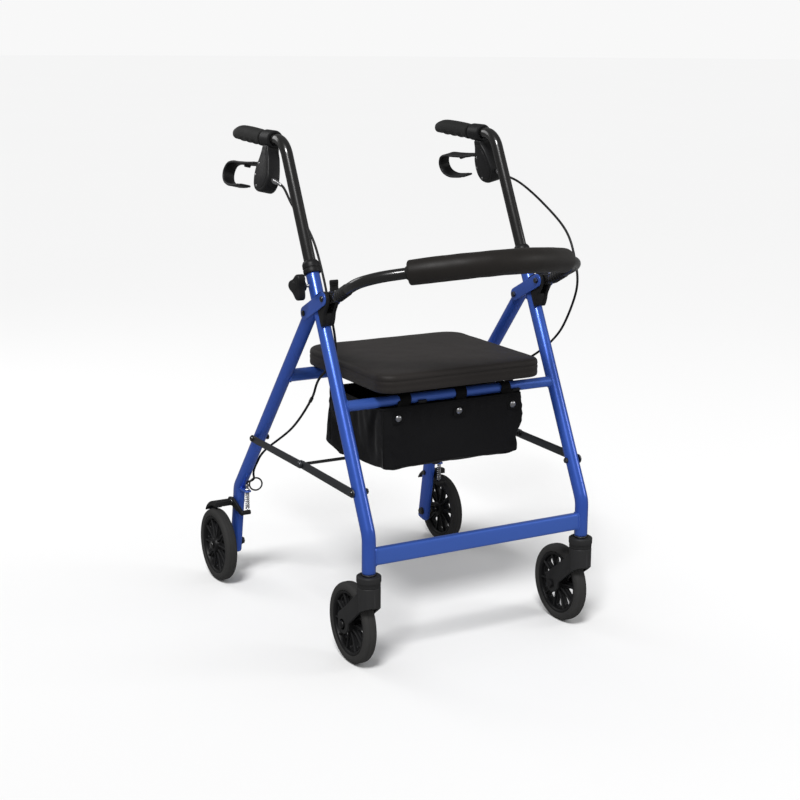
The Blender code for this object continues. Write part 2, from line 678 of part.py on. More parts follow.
# ---- seat, bag and backrest ------------------------------------------------------------------------
def make_seat_base():
    """The moulded panel under the cushion, with two hooks round the front cross tube."""
    tube = on_leg(1, SEAT_TUBE_AT)
    inset = 0.004
    panel = prism("seat_base", seat_outline(inset, 4), *SEAT_BASE_Z, "black_plastic", plane="XY")
    hooks, cuts = [], []
    hook_r = SEAT_TUBE_R + 0.0055
    for name, (low, high) in (("right", (-0.077, -0.060)), ("left", (0.128, 0.145))):
        shape = [
            *arc((tube.y, tube.z), hook_r, 180, 360, 10),
            (tube.y + hook_r + 0.010, SEAT_BASE_Z[0] + 0.002), (tube.y - hook_r, SEAT_BASE_Z[0] + 0.002),
        ]
        hooks.append(prism(f"add_hook_{name}", shape, low, high, "black_plastic"))
        ends = [Vector((x, tube.y, tube.z)) for x in (low - 0.01, high + 0.01)]
        cuts.append(rod(f"cut_hook_{name}", *ends, SEAT_TUBE_R + 0.0006, "black_plastic"))
    rim_low = SEAT_BASE_Z[0] - 0.0105
    front_rim = prism(
        "add_front_rim",
        rounded_rectangle((-SEAT_HALF_X + 0.02, SEAT_Y[0] + inset + 0.010),
                          (SEAT_HALF_X - 0.02, SEAT_Y[0] + inset + 0.016), 0.002, 1),
        rim_low, SEAT_BASE_Z[0] + 0.002, "black_plastic", plane="XY",
    )
    join(panel, front_rim, *hooks)
    cut(panel, *cuts)
    return panel


def make_seat_cushion():
    cushion = prism("seat_cushion", seat_outline(), SEAT_BASE_Z[1] + GAP, SEAT_TOP_Z, "seat_vinyl", plane="XY")
    bevel = cushion.modifiers.new("soft_edge", "BEVEL")
    bevel.width = 0.006
    bevel.segments = 2
    bevel.limit_method = "ANGLE"
    bevel.angle_limit = radians(60)
    return cushion


def make_storage_bag():
    """The open-topped bag under the seat."""
    outline = rounded_rectangle((-BAG_HALF_X, BAG_Y[0]), (BAG_HALF_X, BAG_Y[1]), 0.012, 3)
    bag = prism("storage_bag", outline, *BAG_Z, "bag_fabric", plane="XY")
    inner = rounded_rectangle(
        (-BAG_HALF_X + BAG_WALL, BAG_Y[0] + BAG_WALL), (BAG_HALF_X - BAG_WALL, BAG_Y[1] - BAG_WALL),
        0.009, 3,
    )
    hollow = prism("cut_bag", inner, BAG_Z[0] + BAG_WALL, BAG_Z[1] + 0.01, "bag_fabric", plane="XY")
    return cut(bag, hollow)


def backrest_path(from_x, steps=20):
    """The bowed run of the backrest bar between its two outer bends, as points from -from_x to from_x."""
    path = []
    for i in range(steps + 1):
        share = -1 + 2 * i / steps
        x = from_x * share
        path.append(Vector((x, BOW_Y + BOW_BACK * x * x, BOW_Z - BOW_DROP * x * x)))
    return path


def make_backrest_bar():
    arch = backrest_path(PAD_HALF_X, 8)
    adds, cuts = [], []
    ends = {}
    for side in (-1, 1):
        knots = [
            Vector((side * LEG_X, -0.1450, 0.6685)), Vector((side * LEG_X, -0.1800, 0.6860)),
            Vector((side * 0.2270, -0.2220, 0.7050)), Vector((side * 0.2020, -0.2545, 0.7180)),
        ]
        ends[side] = curve_points([*knots, arch[-1 if side > 0 else 0]], 2)
    path = ends[-1][:-1] + arch + ends[1][:-1][::-1]
    bar = sweep("backrest_bar", path, (BACKREST_R, BACKREST_R), "black_paint", 10, across=(0, 0, 1))
    for name, side in SIDES:
        front = backrest_pivot()
        start = ends[side][0]
        outline = link_outline(front.yz, (start.y - 0.006, start.z + 0.003), 0.0105, 0.0092)
        faces = sorted((side * LEG_X - 0.005, side * LEG_X + 0.005))
        adds.append(prism(f"add_tongue_{name}", outline, *faces, "black_paint"))
        point, reach = in_yz(side * LEG_X, front.yz), Vector((0.02, 0, 0))
        cuts.append(
            rod(f"cut_tongue_{name}", point - reach, point + reach, BOLT_R + GAP, "black_paint", 10)
        )
    join(bar, *adds)
    cut(bar, *cuts)
    return bar


def make_backrest_pad():
    path = backrest_path(PAD_HALF_X, 8)
    ends = [path[0] + (path[0] - path[1]) * 0.25, path[-1] + (path[-1] - path[-2]) * 0.25]
    pad = sweep("backrest_pad", path, (PAD_R, PAD_R), "foam", 12, across=(0, 0, 1))
    bore_path = [ends[0], *path, ends[1]]
    bore_r = BACKREST_R + GAP * 2
    bore = sweep("cut_pad", bore_path, (bore_r, bore_r), "foam", 10, across=(0, 0, 1))
    return cut(pad, bore)


# ---- handles and brakes ----------------------------------------------------------------------------
def make_handle_tube(name, side):
    corner_at = (GRIP_Z - FRONT_BEND_Z) / cos(RAKE)
    corner = on_leg(side, corner_at)
    end = Vector((side * LEG_X, GRIP_END_Y - 0.006, GRIP_Z))
    path = fillet([on_leg(side, HANDLE_FROM), corner, end], HANDLE_BEND_R, 6)
    return sweep(f"handle_tube_{name}", path, (HANDLE_R, HANDLE_R), "black_paint")


def make_grip(name, side):
    """A rubber grip with finger bumps, closed and flared at its back end."""
    length = GRIP_END_Y - GRIP_START_Y
    outer = []
    steps = 8
    for i in range(steps + 1):
        along = length * i / steps
        bump = 0.0007 * cos(2 * pi * 4 * i / steps)
        flare = 0.0012 * max(0, i / steps - 0.85) / 0.15
        outer.append((GRIP_R + bump + flare, along))
    bore_r = HANDLE_R + GAP * 1.5
    bore_end = length - 0.006 + GAP * 2
    profile = [(0, bore_end), (bore_r, bore_end), (bore_r, 0), *outer, (GRIP_R - 0.003, length + 0.001),
               (0, length + 0.001)]
    origin = (side * LEG_X, GRIP_START_Y, GRIP_Z)
    return lathe(f"grip_{name}", profile, origin, (0, 1, 0), "black_rubber", 14)


def brake_matrix(side):
    """Local Y stays along the grip, local Z points up the tilted brake unit, origin on the grip's axis."""
    turn = Matrix.Rotation(-side * BRAKE_TILT, 4, "Y")
    return Matrix.Translation((side * LEG_X, 0, GRIP_Z)) @ turn


def make_brake_housing(name, side):
    """The clamp round the handle and the rounded body that hangs from it, slotted for the lever."""
    place = brake_matrix(side)
    bore_r = HANDLE_R + GAP * 1.5
    low, high = HOUSING_Y
    clamp = [(bore_r, low), (0.0165, low), (0.0165, high), (bore_r, high)]
    ring = lathe(f"brake_housing_{name}", clamp, (side * LEG_X, 0, GRIP_Z), (0, 1, 0),
                 "black_plastic", 14, ring=True)
    outline = [
        (0.1320, -0.0130), (0.1330, -0.0280), (0.1375, -0.0420), (0.1440, -0.0560), (0.1445, -0.0740),
        (0.1400, -0.0890), (0.1310, -0.0980), (0.1180, -0.1015), (0.1020, -0.1010), (0.0900, -0.0950),
        (0.0825, -0.0820), (0.0825, -0.0700), (0.0885, -0.0540), (0.0985, -0.0330), (0.1080, -0.0220),
        (0.1110, -0.0130),
    ]
    body = prism(f"add_body_{name}", outline, -HOUSING_HALF, HOUSING_HALF, "black_plastic", place=place)
    room = [(0.1180, -0.0320), (0.1700, -0.0320), (0.1700, -0.0640), (0.1180, -0.0640)]
    slot_half = LEVER_HALF - 0.0025
    slot = prism(f"cut_body_{name}", room, -slot_half, slot_half, "black_plastic", place=place)
    return cut(join(ring, body), slot)


def make_brake_lever(name, side):
    """The loop lever: a flat band that runs back, curls down and returns to a free tip."""
    knots = [
        (0.1300, 0.0480), (0.1560, 0.0490), (0.1900, 0.0525), (0.2300, 0.0545), (0.2620, 0.0555),
        (0.2835, 0.0620), (0.2925, 0.0775), (0.2850, 0.0930), (0.2620, 0.1000), (0.2250, 0.0985),
        (0.1820, 0.0930),
    ]
    path = curve_points([brake_unit(side, y, below) for y, below in knots], 2)
    root, full = LEVER_HALF - 0.0035, LEVER_HALF
    widths = [root + (full - root) * max(0, min(1, (point.y - 0.156) / 0.03)) for point in path[:11]]
    widths += [full] * (len(path) - len(widths))
    sections = [(wide, LEVER_THICK / 2) for wide in widths]
    across = brake_unit(side, 0, 0, 1) - brake_unit(side, 0, 0, 0)
    return sweep(f"brake_lever_{name}", path, sections, "black_plastic", 8, across)


def make_cable_adjuster(name, side):
    """The barrel adjuster on the housing's lower front."""
    start = brake_unit(side, 0.0800, 0.0760)
    profile = [(0, 0), (0.0045, 0), (0.0045, 0.006), (0.0034, 0.007), (0.0034, 0.0135), (0, 0.0135)]
    return lathe(f"cable_adjuster_{name}", profile, start, adjuster_direction(side), "bright_steel", 12)


def adjuster_direction(side):
    return (-side * 0.25, -0.80, -0.25)


def cable_path(side):
    """From the barrel adjuster to the rear leg's tab. The left one bows out wide past the backrest; the
    right one crosses behind its handle tube and follows the leg's inner side."""
    out = Vector(adjuster_direction(side)).normalized()
    start = brake_unit(side, 0.0800, 0.0760) + out * 0.0150
    tab = in_yz(side * LEG_X, SPRING_TAB) + Vector((0, 0, 0.0045))
    inside = -0.0245
    if side > 0:
        upper = [
            Vector((0.262, 0.020, 0.836)), Vector((0.274, -0.050, 0.799)),
            Vector((0.282, -0.115, 0.755)), Vector((0.284, -0.160, 0.702)),
            Vector((0.280, -0.158, 0.650)), Vector((0.272, -0.113, 0.580)),
            Vector((0.254, -0.052, 0.520)), Vector((0.222, -0.018, 0.478)),
            Vector((0.2080, 0.030, 0.430)), Vector((0.2080, 0.100, 0.365)),
        ]
    else:
        upper = [
            start + out * 0.012 + Vector((0.003, 0.001, -0.006)),
            on_leg(side, 0.632, 0.0220, 0.006), on_leg(side, 0.610, 0.0220, -0.008),
            on_leg(side, 0.580, 0.0120, -0.019), on_leg(side, 0.520, 0.000, inside),
            on_leg(side, 0.440, -0.002, inside), on_leg(side, 0.350, 0.012, inside + 0.003),
            Vector((-0.2120, -0.050, 0.515)), Vector((-0.2110, -0.004, 0.450)),
            Vector((-0.2110, 0.081, 0.377)),
        ]
    lower = [
        Vector((side * 0.2120, 0.1900, 0.3080)), Vector((side * 0.2240, 0.2290, 0.2620)),
        tab + Vector((0, -0.003, 0.008)), tab,
    ]
    return curve_points([start, *upper, *lower], 2)


def make_brake_cable(name, side):
    return sweep(f"brake_cable_{name}", cable_path(side), (0.0022, 0.0022), "cable", 5)


def make_knob(name, side):
    """The three-lobed height knob and the stud moulded into it."""
    centre = on_leg(side, KNOB_AT)
    outline = []
    steps = 24
    for k in range(steps):
        angle = 2 * pi * k / steps
        radius = KNOB_R * (0.78 + 0.22 * cos(3 * angle))
        outline.append((radius * cos(angle), radius * sin(angle)))
    near, far = LEG_X + LEG_R + 0.014, LEG_X + LEG_R + 0.030
    place = Matrix.Translation((0, centre.y, centre.z))
    knob = prism(f"height_knob_{name}", outline, *sorted((side * near, side * far)), "black_plastic",
                 place=place)
    boss = [(0, near + 0.002), (0.0100, near + 0.002), (0.0085, near - 0.006), (BOLT_R, near - 0.006),
            (BOLT_R, LEG_X + LEG_BORE_R + GAP), (0, LEG_X + LEG_BORE_R + GAP)]
    stud = lathe(f"add_stud_{name}", boss, (0, centre.y, centre.z), (side, 0, 0), "black_plastic", 12)
    return join(knob, stud)


# ---- assembly --------------------------------------------------------------------------------------
def build_side(name, side, root, rear, backrest):
    plate_in = LEG_X - BRACKET_INNER - BRACKET_PLATE - GAP
    plate_out = LEG_X + BRACKET_INNER + BRACKET_PLATE + GAP
    attach(
        root,
        make_collar(name, side),
        make_backrest_bracket(name, side),
        make_bolt(f"fold_bolt_{name}", side, fold_pivot(), plate_in, plate_out, "black_paint"),
        make_bolt(f"backrest_bolt_{name}", side, backrest_pivot(), plate_in, plate_out, "black_paint"),
        make_bolt(f"front_strut_bolt_{name}", side, in_yz(0, BRACE_FRONT), LEG_X - LEG_R - GAP,
                  BRACE_X + BRACE_THICK + GAP, "black_paint"),
        make_brake_cable(name, side),
    )
    strut_out = BRACE_X + 2 * BRACE_THICK + 2 * GAP
    attach(
        rear,
        make_rear_axle(name, side),
        make_bolt(f"rear_strut_bolt_{name}", side, brace_rear(), LEG_X - LEG_R - GAP, strut_out,
                  "black_paint"),
        make_bolt(f"shoe_bolt_{name}", side, in_yz(0, BRAKE_PIVOT), LEG_X - REAR_FLAT[0] - GAP,
                  LEG_X + 0.0152 + GAP),
        make_spring(name, side),
    )
    tab = make_release_tab(name, side)
    attach(pivot(f"release_{name}_pivot", tab.matrix_world.translation, backrest), tab)

    handle = pivot(f"handle_{name}_slide", on_leg(side, LEG_LENGTH), root)
    attach(handle, make_handle_tube(name, side), make_grip(name, side), make_brake_housing(name, side),
           make_cable_adjuster(name, side))
    lever = pivot(f"lever_{name}_pivot", brake_unit(side, *LEVER_PIVOT), handle)
    attach(lever, make_brake_lever(name, side))
    knob = pivot(f"knob_{name}_pivot", on_leg(side, KNOB_AT), root)
    attach(knob, make_knob(name, side))

    swivel = pivot(f"caster_{name}_swivel", (side * LEG_X, FRONT_Y, FORK_TOP_Z), root)
    attach(swivel, make_caster_fork(name, side), make_caster_stem(name, side),
           make_caster_axle(name, side))
    centre = Vector((side * LEG_X, FRONT_Y + CASTER_TRAIL, WHEEL_R))
    wheel = pivot(f"caster_wheel_{name}_axle", centre, swivel)
    attach(wheel, make_hub(f"caster_hub_{name}", centre, side, 0.0158),
           make_tyre(f"caster_tyre_{name}", centre, side))
    centre = in_yz(side * REAR_WHEEL_X, REAR_AXLE)
    wheel = pivot(f"rear_wheel_{name}_axle", centre, rear)
    attach(wheel, make_hub(f"rear_hub_{name}", centre, side, 0.014),
           make_tyre(f"rear_tyre_{name}", centre, side))
    shoe = pivot(f"shoe_{name}_pivot", in_yz(side * LEG_X, BRAKE_PIVOT), rear)
    attach(shoe, make_brake_shoe(name, side))


def main():
    for obj in list(bpy.data.objects):
        bpy.data.objects.remove(obj, do_unlink=True)
    for slot in COLOURS:
        make_material(slot)
    root = pivot("rollator", (0, 0, 0))
    rear = pivot("rear_fold_pivot", fold_pivot(), root)
    brace_front = pivot("brace_front_pivot", in_yz(0, BRACE_FRONT), root)
    brace_back = pivot("brace_rear_pivot", brace_rear(), rear)
    seat_tube = on_leg(1, SEAT_TUBE_AT)
    seat = pivot("seat_pivot", (0, seat_tube.y, seat_tube.z), root)
    backrest = pivot("backrest_pivot", backrest_pivot(), root)
    attach(root, make_front_frame(), make_storage_bag())
    attach(rear, make_rear_frame())
    attach(brace_front, make_brace_yoke())
    for name, side in SIDES:
        attach(brace_back, make_rear_strut(name, side))
        build_side(name, side, root, rear, backrest)
    attach(seat, make_seat_base(), make_seat_cushion())
    attach(backrest, make_backrest_bar(), make_backrest_pad())
    for obj in bpy.context.scene.objects:
        if obj.parent is None:
            obj.location.y += SHIFT_Y


main()
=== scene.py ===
"""The visual model of the rollator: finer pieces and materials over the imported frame.

Metres, +Z up, the front faces -Y, the user's left is +X. Y is measured as in the CAD's dimensions, and
add() moves each finished mesh by SHIFT onto the frame's origin.
"""

from math import acos, atan2, copysign, cos, degrees, hypot, pi, radians, sin, sqrt, tan

import bmesh
import bpy
from mathutils import Matrix, Vector, noise
from mathutils.bvhtree import BVHTree


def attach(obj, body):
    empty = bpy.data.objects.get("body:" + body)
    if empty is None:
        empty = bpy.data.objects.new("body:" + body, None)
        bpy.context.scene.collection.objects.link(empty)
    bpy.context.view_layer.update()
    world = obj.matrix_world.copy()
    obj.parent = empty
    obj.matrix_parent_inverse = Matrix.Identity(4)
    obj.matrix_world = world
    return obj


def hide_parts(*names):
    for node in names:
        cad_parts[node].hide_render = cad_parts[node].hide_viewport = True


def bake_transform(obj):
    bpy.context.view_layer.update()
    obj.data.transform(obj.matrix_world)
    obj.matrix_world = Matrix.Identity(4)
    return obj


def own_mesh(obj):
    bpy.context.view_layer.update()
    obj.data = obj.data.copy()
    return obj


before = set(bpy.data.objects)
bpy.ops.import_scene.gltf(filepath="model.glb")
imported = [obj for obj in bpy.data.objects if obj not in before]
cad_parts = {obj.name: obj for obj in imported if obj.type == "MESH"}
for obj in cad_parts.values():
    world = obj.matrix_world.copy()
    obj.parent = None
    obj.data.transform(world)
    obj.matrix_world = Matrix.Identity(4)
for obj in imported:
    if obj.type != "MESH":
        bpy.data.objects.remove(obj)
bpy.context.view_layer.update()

# ---- driving dimensions, as in the CAD -------------------------------------------------------------
SIDES = (("left", 1), ("right", -1))
SHIFT = Vector((0, -0.01648, 0))
LEG_X, LEG_R = 0.230, 0.0127
FRONT_Y, FRONT_BEND_Z, LEG_BOTTOM_Z = -0.2655, 0.259, 0.190
RAKE = radians(26.5)
LEG_LENGTH, LEG_BORE_R, LEG_BORE_FROM = 0.500, 0.0116, 0.125
SEAT_TUBE_R, SEAT_TUBE_AT = 0.010, 0.2378
CROSSBAR_Z, CROSSBAR_HALF = 0.2197, (0.008, 0.016)
BRACKET_AT, BRACKET_PLATE, BRACKET_INNER, BRACKET_R = 0.428, 0.003, 0.0132, 0.0125
FOLD_BEHIND, BACKREST_AHEAD = 0.0385, 0.0467
REAR_SPLAY = radians(39.0)
REAR_BEND, REAR_BOTTOM, REAR_TUBE_Z = (0.3105, 0.200), (0.3360, 0.055), 0.4835
REAR_FLAT = (0.009, 0.016)
REAR_AXLE, REAR_WHEEL_X = (0.328, 0.076), 0.272
BRAKE_PIVOT, SPRING_TAB = (0.318, 0.168), (0.270, 0.2015)
WHEEL_R, TYRE_INNER_R = 0.076, 0.0605
CASTER_TRAIL, FORK_TOP_Z, FORK_R, FORK_GAP_HALF, FORK_ARM = 0.0626, 0.187, 0.0215, 0.0165, 0.0052
AXLE_R, STEM_R, BOLT_R = 0.004, 0.0055, 0.003
BRACE_FRONT, BRACE_MIDDLE = (-0.2296, 0.331), (-0.0230, 0.3334)
BRACE_REAR_FROM_PIVOT, BRACE_THICK = 0.3758, 0.003
BRACE_X = LEG_X + LEG_R + 0.0008
HANDLE_R, HANDLE_FROM, HANDLE_BEND_R = 0.0111, 0.270, 0.045
GRIP_Z, GRIP_START_Y, GRIP_END_Y = 0.930, 0.156, 0.2868
BRAKE_TILT = radians(13)
COLLAR_AT, COLLAR_R = (0.490, 0.514), 0.0162
KNOB_AT, KNOB_R = 0.468, 0.0265
SEAT_HALF_X, SEAT_Y = 0.170, (-0.211, 0.115)
SEAT_BASE_Z, SEAT_TOP_Z = 0.4975, 0.5315
BAG_HALF_X, BAG_Y, BAG_Z = 0.153, (-0.176, 0.040), (0.352, 0.460)
RELEASE_FOOT = (-0.134, 0.679)
BACKREST_R, PAD_R, PAD_HALF_X = 0.0100, 0.0225, 0.1616
BOW_Y, BOW_Z, BOW_BACK, BOW_DROP = -0.349, 0.7435, 2.57, 0.65

CAMERA_AT = (-1.47510, -2.60736, 1.13709)
CAMERA_TURN = (-29.163, 13.360, 0.293)  # yaw, pitch and roll in degrees
CAMERA_SENSOR, CAMERA_LENS = 36.0, 70.77645  # millimetres

UP_LEG = Vector((0, sin(RAKE), cos(RAKE)))
BACK_OF_LEG = Vector((0, cos(RAKE), -sin(RAKE)))
DOWN_REAR = Vector((0, sin(REAR_SPLAY), -cos(REAR_SPLAY)))
YZ = Matrix(((0, 0, 1, 0), (1, 0, 0, 0), (0, 1, 0, 0), (0, 0, 0, 1)))  # a plate's own axes to Y, Z, X
XY = Matrix.Identity(4)


def on_leg(side, at, back=0.0, out=0.0):
    base = Vector((side * (LEG_X + out), FRONT_Y, FRONT_BEND_Z))
    return base + UP_LEG * at + BACK_OF_LEG * back


def fold_pivot(side=0):
    point = on_leg(1, BRACKET_AT, FOLD_BEHIND)
    return Vector((side * LEG_X, point.y, point.z))


def backrest_pivot(side=0):
    point = on_leg(1, BRACKET_AT, -BACKREST_AHEAD)
    return Vector((side * LEG_X, point.y, point.z))


def in_yz(x, point):
    return Vector((x, point[0], point[1]))


def brace_rear(side=0):
    return fold_pivot(side) + DOWN_REAR * BRACE_REAR_FROM_PIVOT


def brake_unit(side, y, below, out=0.0):
    """A point of a brake unit: y, how far below the grip's axis, and how far out of its middle plane."""
    down = Vector((side * sin(BRAKE_TILT), 0, -cos(BRAKE_TILT)))
    outward = Vector((side * cos(BRAKE_TILT), 0, sin(BRAKE_TILT)))
    return Vector((side * LEG_X, y, GRIP_Z)) + down * below + outward * out


def brake_matrix(side):
    """A plate's own axes to the tilted brake unit: Y along the grip, Z up, origin on the grip's axis."""
    turn = Matrix.Rotation(-side * BRAKE_TILT, 4, "Y")
    return Matrix.Translation((side * LEG_X, 0, GRIP_Z)) @ turn @ YZ


# ---- materials -------------------------------------------------------------------------------------
class Nodes:
    """Shorthand for building a material's node tree."""

    def __init__(self, name):
        self.material = bpy.data.materials.new(name)
        self.material.use_nodes = True
        self.tree = self.material.node_tree
        self.shader = self.tree.nodes["Principled BSDF"]
        self.place = self.add("ShaderNodeTexCoord").outputs["Object"]

    def add(self, kind, inputs=(), **settings):
        node = self.tree.nodes.new(kind)
        for key, value in settings.items():
            setattr(node, key, value)
        for key, value in dict(inputs).items():
            if isinstance(value, bpy.types.NodeSocket):
                self.tree.links.new(value, node.inputs[key])
            else:
                node.inputs[key].default_value = value
        return node

    def set(self, **values):
        for key, value in values.items():
            target = self.shader.inputs[key.replace("_", " ")]
            if isinstance(value, bpy.types.NodeSocket):
                self.tree.links.new(value, target)
            else:
                target.default_value = value

    def noise(self, scale, detail=3.0, roughness=0.5):
        inputs = {"Vector": self.place, "Scale": scale, "Detail": detail, "Roughness": roughness}
        return self.add("ShaderNodeTexNoise", inputs).outputs["Fac"]

    def cells(self, scale, feature="F1"):
        node = self.add("ShaderNodeTexVoronoi", {"Vector": self.place, "Scale": scale}, feature=feature)
        return node.outputs["Distance"]

    def math(self, operation, a, b=0.0):
        return self.add("ShaderNodeMath", {0: a, 1: b}, operation=operation).outputs[0]

    def span(self, value, low, high, start=0.0, end=1.0):
        inputs = {"Value": value, "From Min": start, "From Max": end, "To Min": low, "To Max": high}
        return self.add("ShaderNodeMapRange", inputs).outputs["Result"]

    def mix(self, share, a, b):
        node = self.add("ShaderNodeMix", data_type="RGBA")
        for socket, value in ((node.inputs[0], share), (node.inputs[6], a), (node.inputs[7], b)):
            if isinstance(value, bpy.types.NodeSocket):
                self.tree.links.new(value, socket)
            else:
                socket.default_value = value
        return node.outputs[2]

    def bump(self, height, depth, strength=1.0, under=None):
        inputs = {"Height": height, "Distance": depth, "Strength": strength}
        if under:
            inputs["Normal"] = under
        return self.add("ShaderNodeBump", inputs).outputs["Normal"]

    def edges(self, low=0.505, high=0.56):
        """How far a point lies on a worn outer edge, from 0 to 1."""
        return self.span(self.add("ShaderNodeNewGeometry").outputs["Pointiness"], 0, 1, low, high)


def rgb(r, g, b):
    return (r, g, b, 1)


def tinted(nodes, colour, amount, scale, edge=None):
    """A colour that drifts lighter and darker, with lighter worn edges when edge is given."""
    light = rgb(*(min(1, c * (1 + amount)) for c in colour))
    dark = rgb(*(c * (1 - amount) for c in colour))
    result = nodes.mix(nodes.noise(scale), dark, light)
    if edge:
        result = nodes.mix(nodes.math("MULTIPLY", nodes.edges(), edge[1]), result, rgb(*edge[0]))
    return result


def paint_material():
    n = Nodes("blue_metallic_paint")
    flakes = n.cells(2600)
    base = tinted(n, (0.026, 0.085, 0.46), 0.10, 9, ((0.08, 0.18, 0.60), 0.5))
    base = n.mix(n.span(flakes, 0.25, 0.0, 0.1, 0.5), base, rgb(0.08, 0.20, 0.70))
    peel = n.bump(n.noise(340, 2), 0.0004, 0.10)
    n.set(Base_Color=base, Metallic=0.45, Roughness=n.span(n.noise(60), 0.27, 0.36), Normal=peel,
          Coat_Weight=0.5, Coat_Roughness=n.span(n.noise(25), 0.07, 0.14))
    return n.material


def black_paint_material():
    n = Nodes("black_gloss_paint")
    peel = n.bump(n.noise(420, 2), 0.0003, 0.12)
    n.set(Base_Color=tinted(n, (0.0055, 0.0050, 0.0048), 0.3, 12, ((0.02, 0.02, 0.02), 0.6)),
          Roughness=n.span(n.noise(45), 0.22, 0.34), Normal=peel, Coat_Weight=0.8, Coat_Roughness=0.06)
    return n.material


def plastic_material(name, colour, rough, grain, depth):
    n = Nodes(name)
    fine = n.math("ADD", n.cells(grain), n.math("MULTIPLY", n.noise(grain * 0.35, 4), 0.6))
    n.set(Base_Color=tinted(n, colour, 0.22, 22, (tuple(c * 3.0 for c in colour), 0.45)),
          Roughness=n.span(n.noise(70), rough - 0.06, rough + 0.07), Normal=n.bump(fine, depth, 0.5),
          Specular_IOR_Level=0.28)
    return n.material


def rubber_material(name, colour, rough, scale, depth, sheen=0.0):
    n = Nodes(name)
    dust = n.span(n.noise(6, 5), 0.0, 0.10, 0.45, 0.75)
    base = n.mix(dust, tinted(n, colour, 0.18, 30), rgb(*(c * 2.6 for c in colour)))
    height = n.math("ADD", n.noise(scale, 6, 0.7), n.math("MULTIPLY", n.cells(scale * 0.6), 0.4))
    n.set(Base_Color=base, Roughness=n.span(n.noise(40), rough - 0.07, rough + 0.08),
          Normal=n.bump(height, depth, 0.6), Sheen_Weight=sheen, Sheen_Roughness=0.5,
          Specular_IOR_Level=0.25)
    return n.material


def vinyl_material():
    n = Nodes("seat_vinyl")
    creases = n.cells(620, "DISTANCE_TO_EDGE")
    pebble = n.span(creases, 0, 1, 0.0, 0.35)
    height = n.math("ADD", pebble, n.math("MULTIPLY", n.noise(1500, 3), 0.35))
    soft = n.bump(n.noise(16, 3), 0.004, 0.14)
    # painted shade: the colour darkens towards a near-black in the crevices between the grain's pebbles
    base = n.mix(n.span(creases, 0.45, 0.0, 0.0, 0.14), tinted(n, (0.0185, 0.0150, 0.0135), 0.2, 9),
                 rgb(0.008, 0.007, 0.006))
    n.set(Base_Color=base, Roughness=n.span(n.noise(35), 0.50, 0.64), Specular_IOR_Level=0.30,
          Normal=n.bump(height, 0.00022, 0.45, soft), Sheen_Weight=0.05)
    return n.material


def woven_material(name, colour, pitch, depth, rough=0.82):
    """A plain weave of threads a pitch apart, laid on faces that look along X, Y or Z."""
    n = Nodes(name)
    split = n.add("ShaderNodeSeparateXYZ", {"Vector": n.place})
    x, y, z = (split.outputs[k] for k in range(3))
    turn = 2 * pi / pitch
    warp = n.math("SINE", n.math("MULTIPLY", n.math("ADD", x, y), turn))
    weft = n.math("SINE", n.math("MULTIPLY", n.math("SUBTRACT", z, n.math("MULTIPLY", y, 0.5)), turn))
    over = n.span(n.math("MULTIPLY", warp, weft), 0, 1, -1, 1)
    fuzz = n.noise(900, 4)
    height = n.math("ADD", over, n.math("MULTIPLY", fuzz, 0.5))
    slack = n.bump(n.noise(22, 3, 0.55), 0.012, 0.20)
    # painted shade: threads are darker where they dip under, by the same mask that lowers them
    base = n.mix(over, tinted(n, tuple(c * 0.6 for c in colour), 0.15, 8), tinted(n, colour, 0.15, 8))
    n.set(Base_Color=base, Roughness=rough, Normal=n.bump(height, depth, 0.45, slack),
          Sheen_Weight=0.04, Sheen_Roughness=0.4, Specular_IOR_Level=0.15)
    return n.material


def metal_material(name, colour, rough, stretch, depth):
    """Bare or plated metal with fine lines drawn along one axis."""
    n = Nodes(name)
    moved = n.add("ShaderNodeMapping", {"Vector": n.place, "Scale": stretch}).outputs["Vector"]
    lines = n.add("ShaderNodeTexNoise", {"Vector": moved, "Scale": 900, "Detail": 3}).outputs["Fac"]
    blotch = n.noise(120, 4)
    n.set(Base_Color=tinted(n, colour, 0.12, 40), Metallic=1.0,
          Roughness=n.span(n.math("ADD", lines, blotch), rough - 0.07, rough + 0.12, 0.4, 1.6),
          Normal=n.bump(lines, depth, 0.3))
    return n.material


PAINT = paint_material()
BLACK_PAINT = black_paint_material()
PLASTIC = plastic_material("black_plastic", (0.0075, 0.0075, 0.0080), 0.44, 2200, 0.0001)
FORK_PLASTIC = plastic_material("fork_plastic", (0.014, 0.014, 0.0145), 0.50, 1500, 0.00016)
HUB_PLASTIC = plastic_material("hub_plastic", (0.0055, 0.0055, 0.0060), 0.42, 2000, 0.0001)
RUBBER = rubber_material("grip_rubber", (0.0080, 0.0080, 0.0078), 0.66, 1300, 0.00015, 0.05)
TYRE = rubber_material("tyre_rubber", (0.026, 0.0255, 0.025), 0.72, 700, 0.0002)
FOAM = rubber_material("backrest_foam", (0.0125, 0.0105, 0.0092), 0.50, 1100, 0.00018, 0.04)
VINYL = vinyl_material()
NYLON = woven_material("bag_nylon", (0.0066, 0.0066, 0.0076), 0.0011, 0.00012)
WEBBING = woven_material("strap_webbing", (0.0050, 0.0050, 0.0055), 0.0016, 0.0003, 0.75)
THREAD = woven_material("stitch_thread", (0.020, 0.020, 0.020), 0.0006, 0.0001, 0.7)
STRUT = metal_material("strut_steel", (0.16, 0.165, 0.175), 0.42, (1, 0.06, 1), 0.00004)
BRIGHT = metal_material("plated_steel", (0.62, 0.62, 0.63), 0.27, (1, 1, 1), 0.00002)
SHEATH = rubber_material("cable_sheath", (0.0085, 0.0085, 0.0090), 0.42, 900, 0.00005)


# ---- mesh tools ------------------------------------------------------------------------------------
def between(side, near, far):
    """Two distances from the middle as places along X, lowest first."""
    return sorted((side * near, side * far))


